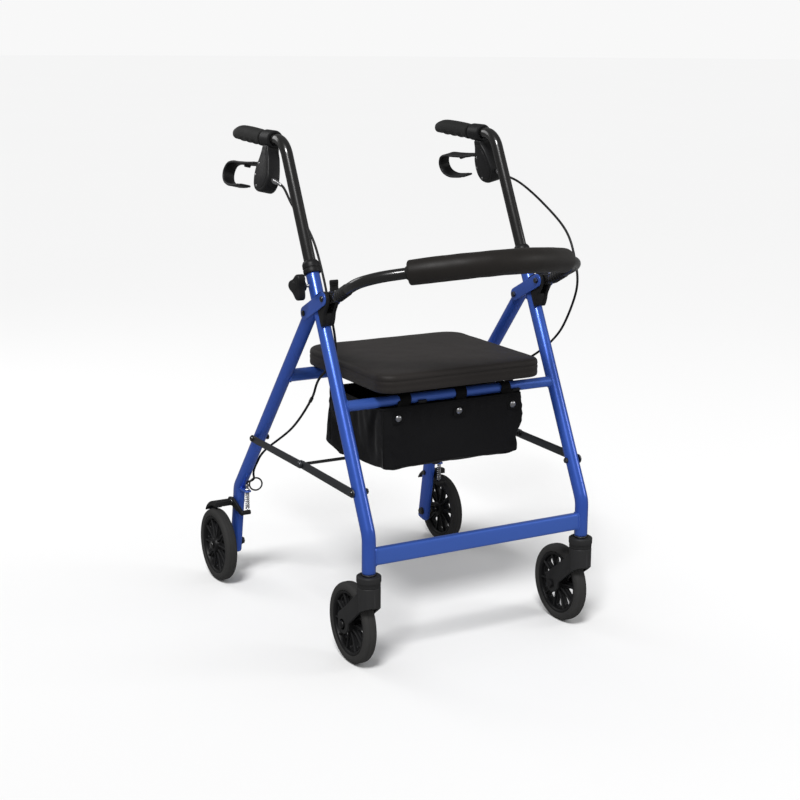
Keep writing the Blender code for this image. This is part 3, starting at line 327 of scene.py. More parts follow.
def add(name, bm, material, body, *nodes, sharp=38, place=None):
    """Makes a piece of a bmesh, moves it onto the frame and lets it ride on a body."""
    bmesh.ops.recalc_face_normals(bm, faces=bm.faces)
    if place:
        bm.transform(place)
    bm.transform(Matrix.Translation(SHIFT))
    mesh = bpy.data.meshes.new(name)
    bm.to_mesh(mesh)
    bm.free()
    mesh.shade_smooth()
    mesh.set_sharp_from_angle(angle=radians(sharp))
    mesh.materials.append(material)
    obj = bpy.data.objects.new(name, mesh)
    bpy.context.scene.collection.objects.link(obj)
    if body:
        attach(obj, body)
    if nodes:
        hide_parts(*nodes)
    return obj


def soften(points, reach, closed=False, steps=2):
    """Rounds the corners of a polyline by up to reach."""
    points = [Vector(p) for p in points]
    last = len(points) - 1
    path = []
    for i, corner in enumerate(points):
        if not closed and i in (0, last):
            path.append(corner)
            continue
        to_last, to_next = points[i - 1] - corner, points[(i + 1) % len(points)] - corner
        size = min(reach, to_last.length * 0.45, to_next.length * 0.45)
        if size < 1e-6 or to_last.normalized().dot(to_next.normalized()) < -0.985:
            path.append(corner)
            continue
        a, b = corner + to_last.normalized() * size, corner + to_next.normalized() * size
        for k in range(steps + 1):
            t = k / steps
            path.append(a * (1 - t) ** 2 + corner * 2 * t * (1 - t) + b * t * t)
    return path


def fillet(points, radius, steps=12):
    """The polyline with each inner corner turned into an arc."""
    points = [Vector(p) for p in points]
    path = [points[0]]
    for before, corner, after in zip(points, points[1:], points[2:]):
        into, out_of = (before - corner).normalized(), (after - corner).normalized()
        half = acos(max(-1, min(1, into.dot(out_of)))) / 2
        centre = corner + (into + out_of).normalized() * (radius / sin(half))
        first = corner + into * (radius / tan(half)) - centre
        last = corner + out_of * (radius / tan(half)) - centre
        for i in range(steps + 1):
            path.append(centre + first.slerp(last, i / steps).normalized() * radius)
    return [*path, points[-1]]


def curve_points(knots, steps):
    """A smooth curve through the knots (Catmull-Rom)."""
    knots = [Vector(k) for k in knots]
    ends = [2 * knots[0] - knots[1], *knots, 2 * knots[-1] - knots[-2]]
    path = []
    for a, b, c, d in zip(ends, ends[1:], ends[2:], ends[3:]):
        for i in range(steps):
            t = i / steps
            path.append(
                0.5 * (2 * b + (c - a) * t + (2 * a - 5 * b + 4 * c - d) * t**2
                       + (3 * b - a - 3 * c + d) * t**3)
            )
    return [*path, knots[-1]]


def dense(path, spacing):
    """The path with points added, so that none lie further apart than spacing."""
    path = [Vector(p) for p in path]
    result = [path[0]]
    for a, b in zip(path, path[1:]):
        count = max(1, int((b - a).length / spacing + 0.999))
        result += [a.lerp(b, k / count) for k in range(1, count + 1)]
    return result


def skin(bm, rings, caps=()):
    """Joins each ring of points to the next, and fills the rings that caps names."""
    for a, b in zip(rings, rings[1:]):
        for k in range(len(a)):
            bm.faces.new((a[k - 1], a[k], b[k], b[k - 1]))
    for cap in caps:
        bm.faces.new(rings[cap])


def tube(bm, path, section, sides=32, across=(1, 0, 0), bore=None, power=2.0, ends=(0.0, 0.0)):
    """A solid along a path. section is a radius, a (half across, half other) pair, or one of either for
    each point. power above 2 squares the section, bore is (radius, depth) of a hole in the far end, and
    ends round the two rims."""
    path = [Vector(p) for p in path]
    sections = section if isinstance(section, list) else [section] * len(path)
    sections = [s if isinstance(s, tuple) else (s, s) for s in sections]
    powers = power if isinstance(power, list) else [power] * len(path)
    tangents = []
    for i, point in enumerate(path):
        ahead = path[min(i + 1, len(path) - 1)] - point
        behind = point - path[max(i - 1, 0)]
        tangents.append((ahead.normalized() + behind.normalized()).normalized())
    stations = []
    for i, (point, pair, tangent) in enumerate(zip(path, sections, tangents)):
        inward = 1 if i == 0 else -1
        rim = ends[0] if i == 0 else ends[1] if i == len(path) - 1 else 0
        for k in range(4)[::inward] if rim else (3,):
            angle = pi / 2 * k / 3
            place = point + tangent * inward * rim * (1 - cos(angle))
            stations.append((place, tuple(v - rim * (1 - sin(angle)) for v in pair), tangent, powers[i]))
    across = Vector(across)
    rings = []

    def ring(point, wide, deep, other, squared):
        corners = []
        for k in range(sides):
            angle = 2 * pi * (k + 0.5) / sides
            c, s = cos(angle), sin(angle)
            if squared != 2:
                c, s = copysign(abs(c) ** (2 / squared), c), copysign(abs(s) ** (2 / squared), s)
            corners.append(bm.verts.new(point + across * wide * c + other * deep * s))
        return corners

    for point, (wide, deep), tangent, squared in stations:
        across = (across - tangent * across.dot(tangent)).normalized()
        rings.append(ring(point, wide, deep, tangent.cross(across), squared))
    if bore:
        point, _, tangent, squared = stations[-1]
        other = tangent.cross(across)
        rings.append(ring(point, bore[0], bore[0], other, squared))
        rings.append(ring(point - tangent * bore[1], bore[0], bore[0], other, squared))
    skin(bm, rings, (0, -1))


def turn(bm, profile, origin, axis, steps=48, ring=False, round_by=0.0005):
    """A turned solid. profile holds (radius, distance along the axis); a ring's profile is a closed loop."""
    profile = soften(profile, round_by, ring) if round_by else [Vector(p) for p in profile]
    spin = Vector((0, 0, 1)).rotation_difference(Vector(axis)).to_matrix().to_4x4()
    place = Matrix.Translation(Vector(origin)) @ spin
    rows = []
    for radius, along in profile:
        if radius < 1e-7:
            rows.append([bm.verts.new(place @ Vector((0, 0, along)))] * steps)
        else:
            angles = [2 * pi * (k + 0.5) / steps for k in range(steps)]
            rows.append([bm.verts.new(place @ Vector((radius * cos(a), radius * sin(a), along)))
                         for a in angles])
    for a, b in list(zip(rows, rows[1:] + rows[:1])) if ring else list(zip(rows, rows[1:])):
        for k in range(steps):
            corners = dict.fromkeys((a[k - 1], a[k], b[k], b[k - 1]))
            if len(corners) > 2:
                bm.faces.new(corners)


def turned(name, profile, origin, axis, material, body, *nodes, **settings):
    """A piece that is one turned solid."""
    bm = bmesh.new()
    turn(bm, profile, origin, axis, **settings)
    return add(name, bm, material, body, *nodes)


def offset_loop(points, inward):
    """The loop moved to its left by inward at every corner."""
    moved = []
    for i, point in enumerate(points):
        before = (point - points[i - 1]).normalized()
        after = (points[(i + 1) % len(points)] - point).normalized()
        a, b = Vector((-before.y, before.x)), Vector((-after.y, after.x))
        middle = (a + b).normalized()
        moved.append(point + middle * inward / max(0.6, middle.dot(a)))
    return moved


def plate(bm, outlines, low, high, place=YZ, edge=0.0006, steps=2):
    """A flat piece with rounded edges. The first outline is its rim and the others are holes in it."""
    loops = []
    for i, outline in enumerate(outlines):
        points = [Vector(p) for p in outline]
        points = [p for k, p in enumerate(points) if (p - points[k - 1]).length > 1e-6]
        area = sum(a.x * b.y - b.x * a.y for a, b in zip(points, points[1:] + points[:1]))
        loops.append(points if (area > 0) == (i == 0) else points[::-1])
    levels = []
    for k in range(steps + 1):
        angle = pi / 2 * k / steps
        levels.append((edge * (1 - sin(angle)), low + edge * (1 - cos(angle))))
    levels += [(inward, low + high - height) for inward, height in levels[::-1]]
    caps = {0: [], len(levels) - 1: []}
    for points in loops:
        rings = []
        for inward, height in levels:
            shape = offset_loop(points, inward)
            rings.append([bm.verts.new(place @ Vector((p.x, p.y, height))) for p in shape])
        skin(bm, rings)
        for level in caps:
            ring = rings[level]
            caps[level] += [bm.edges.get((ring[k - 1], ring[k])) for k in range(len(ring))]
    for rim in caps.values():
        bmesh.ops.triangle_fill(bm, edges=rim, use_beauty=True)


def arc(centre, radius, start, end, steps):
    """Points of an arc, with its angles in degrees."""
    angles = [radians(start + (end - start) * i / steps) for i in range(steps + 1)]
    return [(centre[0] + radius * cos(a), centre[1] + radius * sin(a)) for a in angles]


def circle(centre, radius, steps=20):
    return arc(centre, radius, 0, 360 - 360 / steps, steps - 1)


def link_outline(a, b, radius_a, radius_b, steps=14):
    """The outline of a bar with a round end about each of two points."""
    along = degrees(atan2(b[1] - a[1], b[0] - a[0]))
    lean = degrees(acos((radius_a - radius_b) / hypot(b[0] - a[0], b[1] - a[1])))
    return arc(a, radius_a, along + lean, along + 360 - lean, steps) + arc(
        b, radius_b, along - lean, along + lean, steps
    )


def rounded_rectangle(low, high, radius, steps=6):
    (x0, y0), (x1, y1) = low, high
    corners = (
        ((x1 - radius, y1 - radius), 0),
        ((x0 + radius, y1 - radius), 90),
        ((x0 + radius, y0 + radius), 180),
        ((x1 - radius, y0 + radius), 270),
    )
    return [p for centre, start in corners for p in arc(centre, radius, start, start + 90, steps)]


def coil(bm, start, end, radius, wire, turns):
    """A coil spring with its end turns closed up."""
    start, end = Vector(start), Vector(end)
    axis = (end - start).normalized()
    a = axis.orthogonal().normalized()
    b = axis.cross(a)
    path = []
    count = int(turns * 16)
    for k in range(count + 1):
        share = k / count
        eased = share + 0.035 * sin(2 * pi * share) * -1
        angle = 2 * pi * turns * share
        path.append(start.lerp(end, eased) + (a * cos(angle) + b * sin(angle)) * radius)
    tube(bm, path, wire, 8, axis, ends=(wire * 0.4, wire * 0.4))


def weld(bm, centre, along, across, half_along, half_across, wall, side, power=2.0, bead=0.0017):
    """A rippled bead where a tube along X meets a round leg of radius wall whose axis runs along."""
    centre, along, across = Vector(centre), Vector(along), Vector(across)
    path, radii = [], []
    count = 64
    for k in range(count + 1):
        angle = 2 * pi * k / count
        c, s = cos(angle), sin(angle)
        c, s = copysign(abs(c) ** (2 / power), c), copysign(abs(s) ** (2 / power), s)
        reach = half_across * c
        out = sqrt(max(0, wall * wall - reach * reach))
        path.append(centre + across * reach + along * half_along * s - Vector((side * (out + 0.0004), 0, 0)))
        radii.append(bead * (1 + 0.10 * sin(k * 2 * pi * 13 / count)))
    tube(bm, path, radii, 8, (1, 0, 0))


def hex_nut(bm, origin, axis, across_flats, height):
    radius = across_flats / sqrt(3)
    profile = [(0, 0), (radius * 0.93, 0), (radius, height * 0.12), (radius, height * 0.88),
               (radius * 0.93, height), (0, height)]
    turn(bm, profile, origin, axis, 6, round_by=0)


def bolt(name, material, body, node, side, point, x_inner, x_outer, radius=BOLT_R):
    """A bolt along X: domed head and washer outside, washer and nut inside, x measured from the middle."""
    bm = bmesh.new()
    head_r, head_h = radius * 1.9, radius * 1.15
    profile = [
        (0, x_inner - 0.001), (radius, x_inner - 0.001), (radius, x_outer), (head_r, x_outer),
        (head_r, x_outer + head_h * 0.25), (head_r * 0.86, x_outer + head_h * 0.72),
        (head_r * 0.45, x_outer + head_h), (0, x_outer + head_h),
    ]
    turn(bm, profile, (0, point.y, point.z), (side, 0, 0), 28, round_by=0.0004)
    washer = [(radius, x_inner - 0.0009), (head_r, x_inner - 0.0009), (head_r, x_inner), (radius, x_inner)]
    turn(bm, washer, (0, point.y, point.z), (side, 0, 0), 28, ring=True, round_by=0.0002)
    hex_nut(bm, (side * (x_inner - 0.0009), point.y, point.z), (-side, 0, 0), radius * 3.1, head_h * 0.9)
    return add(name, bm, material, body, node)


def solid(name, make):
    """A bare object from a bmesh maker, for a boolean."""
    bm = bmesh.new()
    make(bm)
    bmesh.ops.recalc_face_normals(bm, faces=bm.faces)
    mesh = bpy.data.meshes.new(name)
    bm.to_mesh(mesh)
    bm.free()
    obj = bpy.data.objects.new(name, mesh)
    bpy.context.scene.collection.objects.link(obj)
    return obj


def carved(base, unions=(), cuts=()):
    """The bmesh of a solid after unions and cuts. The helpers are removed."""
    for operation, others in (("UNION", unions), ("DIFFERENCE", cuts)):
        for other in others:
            modifier = base.modifiers.new(other.name, "BOOLEAN")
            modifier.operation, modifier.solver, modifier.object = operation, "EXACT", other
    bpy.context.view_layer.update()
    graph = bpy.context.evaluated_depsgraph_get()
    bm = bmesh.new()
    bm.from_object(base, graph)
    for obj in (base, *unions, *cuts):
        bpy.data.objects.remove(obj)
    return bm


def bevelled(obj, width, segments=2, angle=40):
    bevel = obj.modifiers.new("soft_edges", "BEVEL")
    bevel.width, bevel.segments, bevel.limit_method = width, segments, "ANGLE"
    bevel.angle_limit = radians(angle)
    bevel.use_clamp_overlap = True
    return obj


# ---- front frame -----------------------------------------------------------------------------------
def make_front_frame():
    seat_tube = on_leg(1, SEAT_TUBE_AT)

    def cross_tube(bm):
        ends = [Vector((x, seat_tube.y, seat_tube.z)) for x in (-LEG_X + 0.004, LEG_X - 0.004)]
        tube(bm, ends, SEAT_TUBE_R, 32, (0, 0, 1))

    def leg_bores(bm):  # the handle tubes slide down past the cross tube's ends
        for _, side in SIDES:
            tube(bm, [on_leg(side, SEAT_TUBE_AT - 0.04), on_leg(side, SEAT_TUBE_AT + 0.04)], LEG_BORE_R, 36)

    bm = carved(solid("cross_tube", cross_tube), (), (solid("leg_bores", leg_bores),))
    half_deep, half_high = CROSSBAR_HALF
    ends = [Vector((x, FRONT_Y, CROSSBAR_Z)) for x in (-LEG_X + 0.004, LEG_X - 0.004)]
    tube(bm, ends, (half_high, half_deep), 56, (0, 0, 1), power=4.5)
    for _, side in SIDES:
        corner = on_leg(side, 0)
        foot = Vector((corner.x, FRONT_Y, LEG_BOTTOM_Z))
        path = fillet([foot, corner, on_leg(side, LEG_LENGTH)], 0.05, 14)
        tube(bm, path, LEG_R, 36, bore=(LEG_BORE_R, LEG_LENGTH - LEG_BORE_FROM), ends=(0.0022, 0.0004))
        weld(bm, (side * LEG_X, seat_tube.y, seat_tube.z), UP_LEG, BACK_OF_LEG, SEAT_TUBE_R, SEAT_TUBE_R,
             LEG_R, side)
        weld(bm, (side * LEG_X, FRONT_Y, CROSSBAR_Z), (0, 0, 1), (0, 1, 0), half_high, half_deep, LEG_R,
             side, 4.5)
        fold, front = fold_pivot().yz, backrest_pivot().yz
        outline = link_outline(fold, front, BRACKET_R, BRACKET_R)
        for way in (-1, 1):
            faces = sorted(side * LEG_X + way * x for x in (BRACKET_INNER, BRACKET_INNER + BRACKET_PLATE))
            plate(bm, [outline], *faces, edge=0.0009, steps=3)
        reach = BRACKET_R - 0.001
        band = [(LEG_R - 0.001, -reach), (BRACKET_INNER + 0.001, -reach), (BRACKET_INNER + 0.001, reach),
                (LEG_R - 0.001, reach)]
        turn(bm, band, on_leg(side, BRACKET_AT), UP_LEG, 36, ring=True)
    add("front_frame_tubes", bm, PAINT, "frame", "front_frame")


def make_front_fittings(name, side):
    plate_in = LEG_X - BRACKET_INNER - BRACKET_PLATE
    plate_out = LEG_X + BRACKET_INNER + BRACKET_PLATE
    bolt(f"fold_bolt_cap_{name}", BLACK_PAINT, "frame", f"fold_bolt_{name}", side, fold_pivot(), plate_in,
         plate_out)
    bolt(f"backrest_bolt_cap_{name}", BLACK_PAINT, "frame", f"backrest_bolt_{name}", side,
         backrest_pivot(), plate_in, plate_out)
    bolt(f"strut_bolt_front_{name}", BLACK_PAINT, "frame", f"front_strut_bolt_{name}", side,
         in_yz(0, BRACE_FRONT), LEG_X - LEG_R, BRACE_X + BRACE_THICK)

    low, high = COLLAR_AT
    profile = [
        (LEG_R + 0.0004, low), (COLLAR_R - 0.0008, low), (COLLAR_R, low + 0.0015),
        (COLLAR_R, low + 0.008), (COLLAR_R - 0.0007, low + 0.0088), (COLLAR_R - 0.0007, low + 0.0102),
        (COLLAR_R, low + 0.011), (COLLAR_R - 0.0004, high - 0.005), (COLLAR_R - 0.003, high),
        (HANDLE_R + 0.0004, high), (HANDLE_R + 0.0004, LEG_LENGTH + 0.0004),
        (LEG_R + 0.0004, LEG_LENGTH + 0.0004),
    ]
    turned(f"leg_collar_{name}", profile, on_leg(side, 0), UP_LEG, PLASTIC, "frame", f"collar_{name}",
           steps=40, ring=True)

    def ahead(distance, at):
        point = on_leg(1, at, -distance)
        return point.y, point.z

    clear = LEG_R + 0.0004
    half = BRACKET_INNER - 0.0004
    cheek = [
        ahead(clear, 0.4445), ahead(0.040, 0.4440), ahead(0.0585, 0.4360), ahead(0.0585, 0.420),
        ahead(0.047, 0.412), ahead(0.034, 0.404), ahead(0.0285, 0.396), ahead(0.020, 0.388),
        ahead(clear, 0.384),
    ]
    web = [
        ahead(clear, 0.4435), ahead(0.026, 0.4435), ahead(0.026, 0.4130), ahead(0.033, 0.4045),
        ahead(0.0275, 0.3965), ahead(0.0195, 0.3890), ahead(clear, 0.3850),
    ]
    bm = bmesh.new()
    hole = circle(backrest_pivot().yz, 0.0032)
    for way in (-1, 1):
        faces = sorted(side * LEG_X + way * x for x in (0.0057, half))
        plate(bm, [soften(cheek, 0.006, True, 5), hole], *faces, edge=0.0010, steps=3)
    plate(bm, [soften(web, 0.003, True, 3)], side * LEG_X - 0.0060, side * LEG_X + 0.0060, edge=0.0008)
    for k in range(3):
        at = 0.4385 - 0.010 * k
        rib = [ahead(0.0175, at), ahead(0.0405 - 0.004 * k, at - 0.0015),
               ahead(0.0405 - 0.004 * k, at - 0.0035), ahead(0.0175, at - 0.0035)]
        plate(bm, [rib], side * LEG_X - half - 0.0012, side * LEG_X + half + 0.0012, edge=0.0004)
    add(f"backrest_socket_{name}", bm, PLASTIC, "frame", f"backrest_bracket_{name}")

    place = Matrix.Translation(in_yz(side * LEG_X, RELEASE_FOOT)) @ Matrix.Rotation(radians(-6), 4, "X") @ YZ
    bm = bmesh.new()
    outline = [(-0.0032, 0), (-0.0021, 0.008), (-0.0036, 0.0165), (-0.0026, 0.0200), (0.0020, 0.0196),
               (0.0031, 0.0155), (0.0018, 0.0080), (0.0032, 0)]
    plate(bm, [soften(outline, 0.002, True, 3)], -0.0080, 0.0080, place, edge=0.0012, steps=3)
    for k in range(3):
        z = 0.0115 + 0.0026 * k
        ridge = [place @ Vector((-0.0036 - 0.0002 * k, z, w)) for w in (-0.0062, 0.0062)]
        tube(bm, ridge, 0.0006, 8, (0, 0, 1), ends=(0.0003, 0.0003))
    add(f"release_tab_{name}", bm, PLASTIC, f"release_{name}", f"backrest_release_{name}")


# ---- rear frame ------------------------------------------------------------------------------------
def make_rear_frame():
    bm = bmesh.new()
    pivot_point = fold_pivot()
    tube_y = pivot_point.y + (pivot_point.z - REAR_TUBE_Z) * tan(REAR_SPLAY)
    ends = [Vector((x, tube_y, REAR_TUBE_Z)) for x in (-LEG_X + 0.004, LEG_X - 0.004)]
    tube(bm, ends, LEG_R - 0.0004, 36, (0, 0, 1))
    for _, side in SIDES:
        top = fold_pivot(side) - DOWN_REAR * 0.013
        path = fillet([top, in_yz(side * LEG_X, REAR_BEND), in_yz(side * LEG_X, REAR_BOTTOM)], 0.05, 14)
        path = dense(path, 0.010)
        flat_from, flat_to = REAR_BEND[1] + 0.024, REAR_BEND[1] - 0.030
        sections, powers = [], []
        for point in path:
            share = max(0, min(1, (flat_from - point.z) / (flat_from - flat_to)))
            share = share * share * (3 - 2 * share)
            sections.append(tuple(LEG_R + (flat - LEG_R) * share for flat in REAR_FLAT))
            powers.append(2 + 1.2 * share)
        tube(bm, path, sections, 36, power=powers, ends=(0.003, 0.006))
        y, z = SPRING_TAB
        outline = rounded_rectangle((-0.0070, -0.0085), (0.0070, 0.035), 0.0055, 6)
        tab = [(side * LEG_X + u, y + v) for u, v in outline]
        plate(bm, [tab, circle((side * LEG_X, y), 0.0022, 14)], z - 0.0014, z + 0.0014, XY, edge=0.0004)
        back_of_rear = Vector((0, cos(REAR_SPLAY), sin(REAR_SPLAY)))
        weld(bm, (side * LEG_X, tube_y, REAR_TUBE_Z), -DOWN_REAR, back_of_rear, LEG_R - 0.0002,
             LEG_R - 0.0006, LEG_R, side)
    add("rear_frame_tubes", bm, PAINT, "rear", "rear_frame")


def make_rear_fittings(name, side):
    bolt(f"strut_bolt_rear_{name}", BLACK_PAINT, "rear", f"rear_strut_bolt_{name}", side, brace_rear(),
         LEG_X - LEG_R, BRACE_X + 2 * BRACE_THICK + 0.0006)
    bolt(f"shoe_pivot_bolt_{name}", BLACK_PAINT, "rear", f"shoe_bolt_{name}", side, in_yz(0, BRAKE_PIVOT),
         LEG_X - REAR_FLAT[0], LEG_X + 0.0156)
    # wheel axle: nut and washer inside, spacer, shaft and domed cap outside
    bm = bmesh.new()
    leg_in, leg_out = LEG_X - REAR_FLAT[0], LEG_X + REAR_FLAT[0]
    hub_in, hub_out = REAR_WHEEL_X - 0.0148, REAR_WHEEL_X + 0.0148
    profile = [
        (0, leg_in - 0.001), (AXLE_R, leg_in - 0.001), (AXLE_R, leg_out), (0.0078, leg_out),
        (0.0078, hub_in - 0.0012), (0.0064, hub_in), (AXLE_R, hub_in), (AXLE_R, hub_out),
        (0.0074, hub_out), (0.0074, hub_out + 0.0016), (0.0058, hub_out + 0.0036), (0, hub_out + 0.0043),
    ]
    turn(bm, profile, (0, *REAR_AXLE), (side, 0, 0), 32)
    washer = [(AXLE_R, leg_in - 0.0012), (0.0085, leg_in - 0.0012), (0.0085, leg_in), (AXLE_R, leg_in)]
    turn(bm, washer, (0, *REAR_AXLE), (side, 0, 0), 32, ring=True, round_by=0.0003)
    hex_nut(bm, (side * (leg_in - 0.0012), *REAR_AXLE), (-side, 0, 0), 0.0125, 0.0050)
    add(f"wheel_axle_{name}", bm, BLACK_PAINT, "rear", f"rear_axle_{name}")

    # return spring, pull wire and the adjuster that stands on the tab
    tab = in_yz(side * LEG_X, SPRING_TAB)
    up = Vector((0, 0, 1))
    bm = bmesh.new()
    coil(bm, tab - up * 0.0030, tab - up * 0.0385, 0.0036, 0.0010, 9.5)
    tube(bm, [tab + up * 0.012, tab - up * 0.0425], 0.0008, 10)
    add(f"shoe_spring_{name}", bm, BRIGHT, "rear", f"brake_spring_{name}")
    bm = bmesh.new()
    profile = [(0, -0.0030), (0.0024, -0.0030), (0.0024, 0.0016), (0.0030, 0.0022), (0.0030, 0.0095),
               (0.0040, 0.0102), (0.0040, 0.0135), (0.0034, 0.0142), (0, 0.0142)]
    turn(bm, profile, tab, up, 20, round_by=0.0003)
    hex_nut(bm, tab + up * 0.0016, up, 0.0085, 0.0030)
    hex_nut(bm, tab - up * 0.0016, -up, 0.0085, 0.0022)
    add(f"tab_adjuster_{name}", bm, BRIGHT, "rear")
    # the tie that gathers the cable's end into a small ring
    bm = bmesh.new()
    middle = tab + Vector((side * -0.015, -0.010, 0.0155))
    ring = [middle + Vector((0.0140 * cos(a), 0.0020 * sin(a), 0.0125 * sin(a)))
            for a in (2 * pi * k / 40 for k in range(41))]
    tube(bm, ring, 0.0017, 10, (0, 1, 0))
    add(f"cable_tie_{name}", bm, PLASTIC, "rear")


def make_brake_shoe(name, side):
    """The shoe: a curved blade with a serrated face over the tyre, its pivot web and its front arm."""
    inner_r = WHEEL_R + 0.0055

    def round_axle(angle, radius):
        return REAR_AXLE[0] + radius * cos(radians(angle)), REAR_AXLE[1] + radius * sin(radians(angle))

    teeth = 30
    inner = [round_axle(49 + 43 * k / teeth, inner_r + 0.0012 * (k % 2)) for k in range(teeth + 1)]
    swell = ((92, 0.0100), (87, 0.0115), (78, 0.0110), (68, 0.0090), (58, 0.0062), (50, 0.0026))
    outer = soften([(*round_axle(angle, inner_r + thick), 0) for angle, thick in swell], 0.006, steps=3)
    x_in, x_mid, x_out = LEG_X + 0.0102, LEG_X + 0.0152, REAR_WHEEL_X + 0.0065
    bm = bmesh.new()
    blade = inner + [(p.x, p.y) for p in outer]
    plate(bm, [blade], *between(side, x_in + 0.0006, x_out), edge=0.0008)
    front = SPRING_TAB[0], SPRING_TAB[1] - 0.046
    arm = link_outline(BRAKE_PIVOT, front, 0.0095, 0.0055)
    plate(bm, [arm], *between(side, x_in, x_mid), edge=0.0009, steps=3)
    web = [*arc(REAR_AXLE, inner_r + 0.0020, 96, 76, 8), (BRAKE_PIVOT[0] + 0.012, BRAKE_PIVOT[1] + 0.0075),
           (BRAKE_PIVOT[0], BRAKE_PIVOT[1] + 0.0092), (BRAKE_PIVOT[0] - 0.006, BRAKE_PIVOT[1])]
    plate(bm, [web], *between(side, x_in + 0.0004, x_mid + 0.0016), edge=0.0009)
    for angle in (58, 68, 78, 88):
        spine = [round_axle(angle + d, inner_r + r)
                 for r, d in ((0.002, -1), (0.0118 - 0.0004 * (88 - angle) * 0.5, -0.7),
                              (0.0118 - 0.0004 * (88 - angle) * 0.5, 0.7), (0.002, 1))]
        plate(bm, [spine], *between(side, x_mid + 0.001, x_out - 0.003), edge=0.0004)
    lug = (Vector((side * (LEG_X - 0.0060), *front)), Vector((side * (x_mid - 0.001), *front)))
    tube(bm, lug, 0.0048, 24, (0, 0, 1), ends=(0.0008, 0.0008))
    add(f"shoe_block_{name}", bm, PLASTIC, f"shoe_{name}", f"brake_shoe_{name}")


# ---- brace -----------------------------------------------------------------------------------------
def make_brace():
    bm = bmesh.new()
    for _, side in SIDES:
        faces = between(side, BRACE_X, BRACE_X + BRACE_THICK)
        outline = link_outline(BRACE_FRONT, BRACE_MIDDLE, 0.0085, 0.0080)
        plate(bm, [outline, circle(BRACE_FRONT, 0.0032)], *faces, edge=0.0007)
    add("front_struts", bm, STRUT, "brace_front", "brace_yoke")
    bm = bmesh.new()
    middle = in_yz(0, BRACE_MIDDLE)
    reach = Vector((BRACE_X - 0.0002, 0, 0))
    tube(bm, [middle - reach, middle + reach], 0.0031, 20, (0, 0, 1))
    for side in (-1, 1):
        boss = [(0, 0), (0.0060, 0), (0.0060, 0.004), (0.0031, 0.006), (0, 0.006)]
        turn(bm, boss, middle + Vector((side * (BRACE_X - 0.0003), 0, 0)), (-side, 0, 0), 24)
    add("brace_cross_rod", bm, BLACK_PAINT, "brace_front")
    for name, side in SIDES:
        bm = bmesh.new()
        x_in = BRACE_X + BRACE_THICK + 0.0003
        faces = between(side, x_in, x_in + BRACE_THICK)
        rear = brace_rear().yz
        plate(bm, [link_outline(BRACE_MIDDLE, rear, 0.0078, 0.0072), circle(rear, 0.0032)], *faces,
              edge=0.0007)
        cap = [(0, -0.0002), (0.0062, -0.0002), (0.0062, 0.0012), (0.0045, 0.0028), (0, 0.0032)]
        turn(bm, cap, (side * (x_in + BRACE_THICK), *BRACE_MIDDLE), (side, 0, 0), 24)
        add(f"rear_strut_bar_{name}", bm, STRUT, "brace_rear", f"rear_strut_{name}")


# ---- wheels ----------------------------------------------------------------------------------------
def make_wheel(kind, name, centre, side, half_width, body):
    bm = bmesh.new()
    windows = []
    spokes = 10
    for k in range(spokes):
        angle = 2 * pi * (k + 0.35) / spokes
        shape = [(0.0235, 0.0), (0.0300, 0.0026), (0.0400, 0.0070), (0.0460, 0.0088), (0.0495, 0.0060),
                 (0.0505, 0.0), (0.0495, -0.0060), (0.0460, -0.0088), (0.0400, -0.0070), (0.0300, -0.0026)]
        turned = [(u * cos(angle) - v * sin(angle), u * sin(angle) + v * cos(angle)) for u, v in shape]
        windows.append([tuple(p) for p in soften(turned, 0.003, True, 3)])
    place = Matrix.Translation(centre) @ YZ
    plate(bm, [circle((0, 0), 0.0550, 80), *windows], -0.0036, 0.0036, place, edge=0.0008)
    rim = [(0.0535, -0.0036), (0.0548, -0.0085), (0.0570, -0.0104), (0.0602, -0.0104), (0.0602, 0.0104),
           (0.0570, 0.0104), (0.0548, 0.0085), (0.0535, 0.0036)]
    turn(bm, rim, centre, (side, 0, 0), 96, ring=True, round_by=0.0008)
    boss = [(AXLE_R + 0.0003, -half_width), (0.0125, -half_width), (0.0150, -half_width + 0.0022),
            (0.0165, -0.0050), (0.0210, -0.0036), (0.0210, 0.0036), (0.0165, 0.0050),
            (0.0150, half_width - 0.0022), (0.0125, half_width), (AXLE_R + 0.0003, half_width)]
    turn(bm, boss, centre, (side, 0, 0), 48, ring=True, round_by=0.0008)
    for k in range(spokes):
        angle = 2 * pi * (k + 0.85) / spokes
        out = Vector((0, cos(angle), sin(angle)))
        tube(bm, [centre + out * r for r in (0.0145, 0.030, 0.0545)],
             [(0.0088, 0.0019), (0.0068, 0.0017), (0.0080, 0.0021)], 16, (1, 0, 0), power=5)
    add(f"{kind}_wheel_centre_{name}", bm, HUB_PLASTIC, body, f"{kind}_hub_{name}")
    bm = bmesh.new()
    half = [(TYRE_INNER_R, 0.0100), (0.0620, 0.0116), (0.0655, 0.0125), (0.0700, 0.0122), (0.0731, 0.0106),
            (0.0750, 0.0080), (0.07585, 0.0046), (0.0754, 0.0042), (0.0754, 0.0036), (0.0760, 0.0032)]
    profile = [(r, -a) for r, a in half] + half[::-1]
    turn(bm, profile, centre, (side, 0, 0), 128, ring=True, round_by=0.0006)
    add(f"{kind}_wheel_tyre_{name}", bm, TYRE, body, f"{kind}_tyre_{name}", sharp=50)


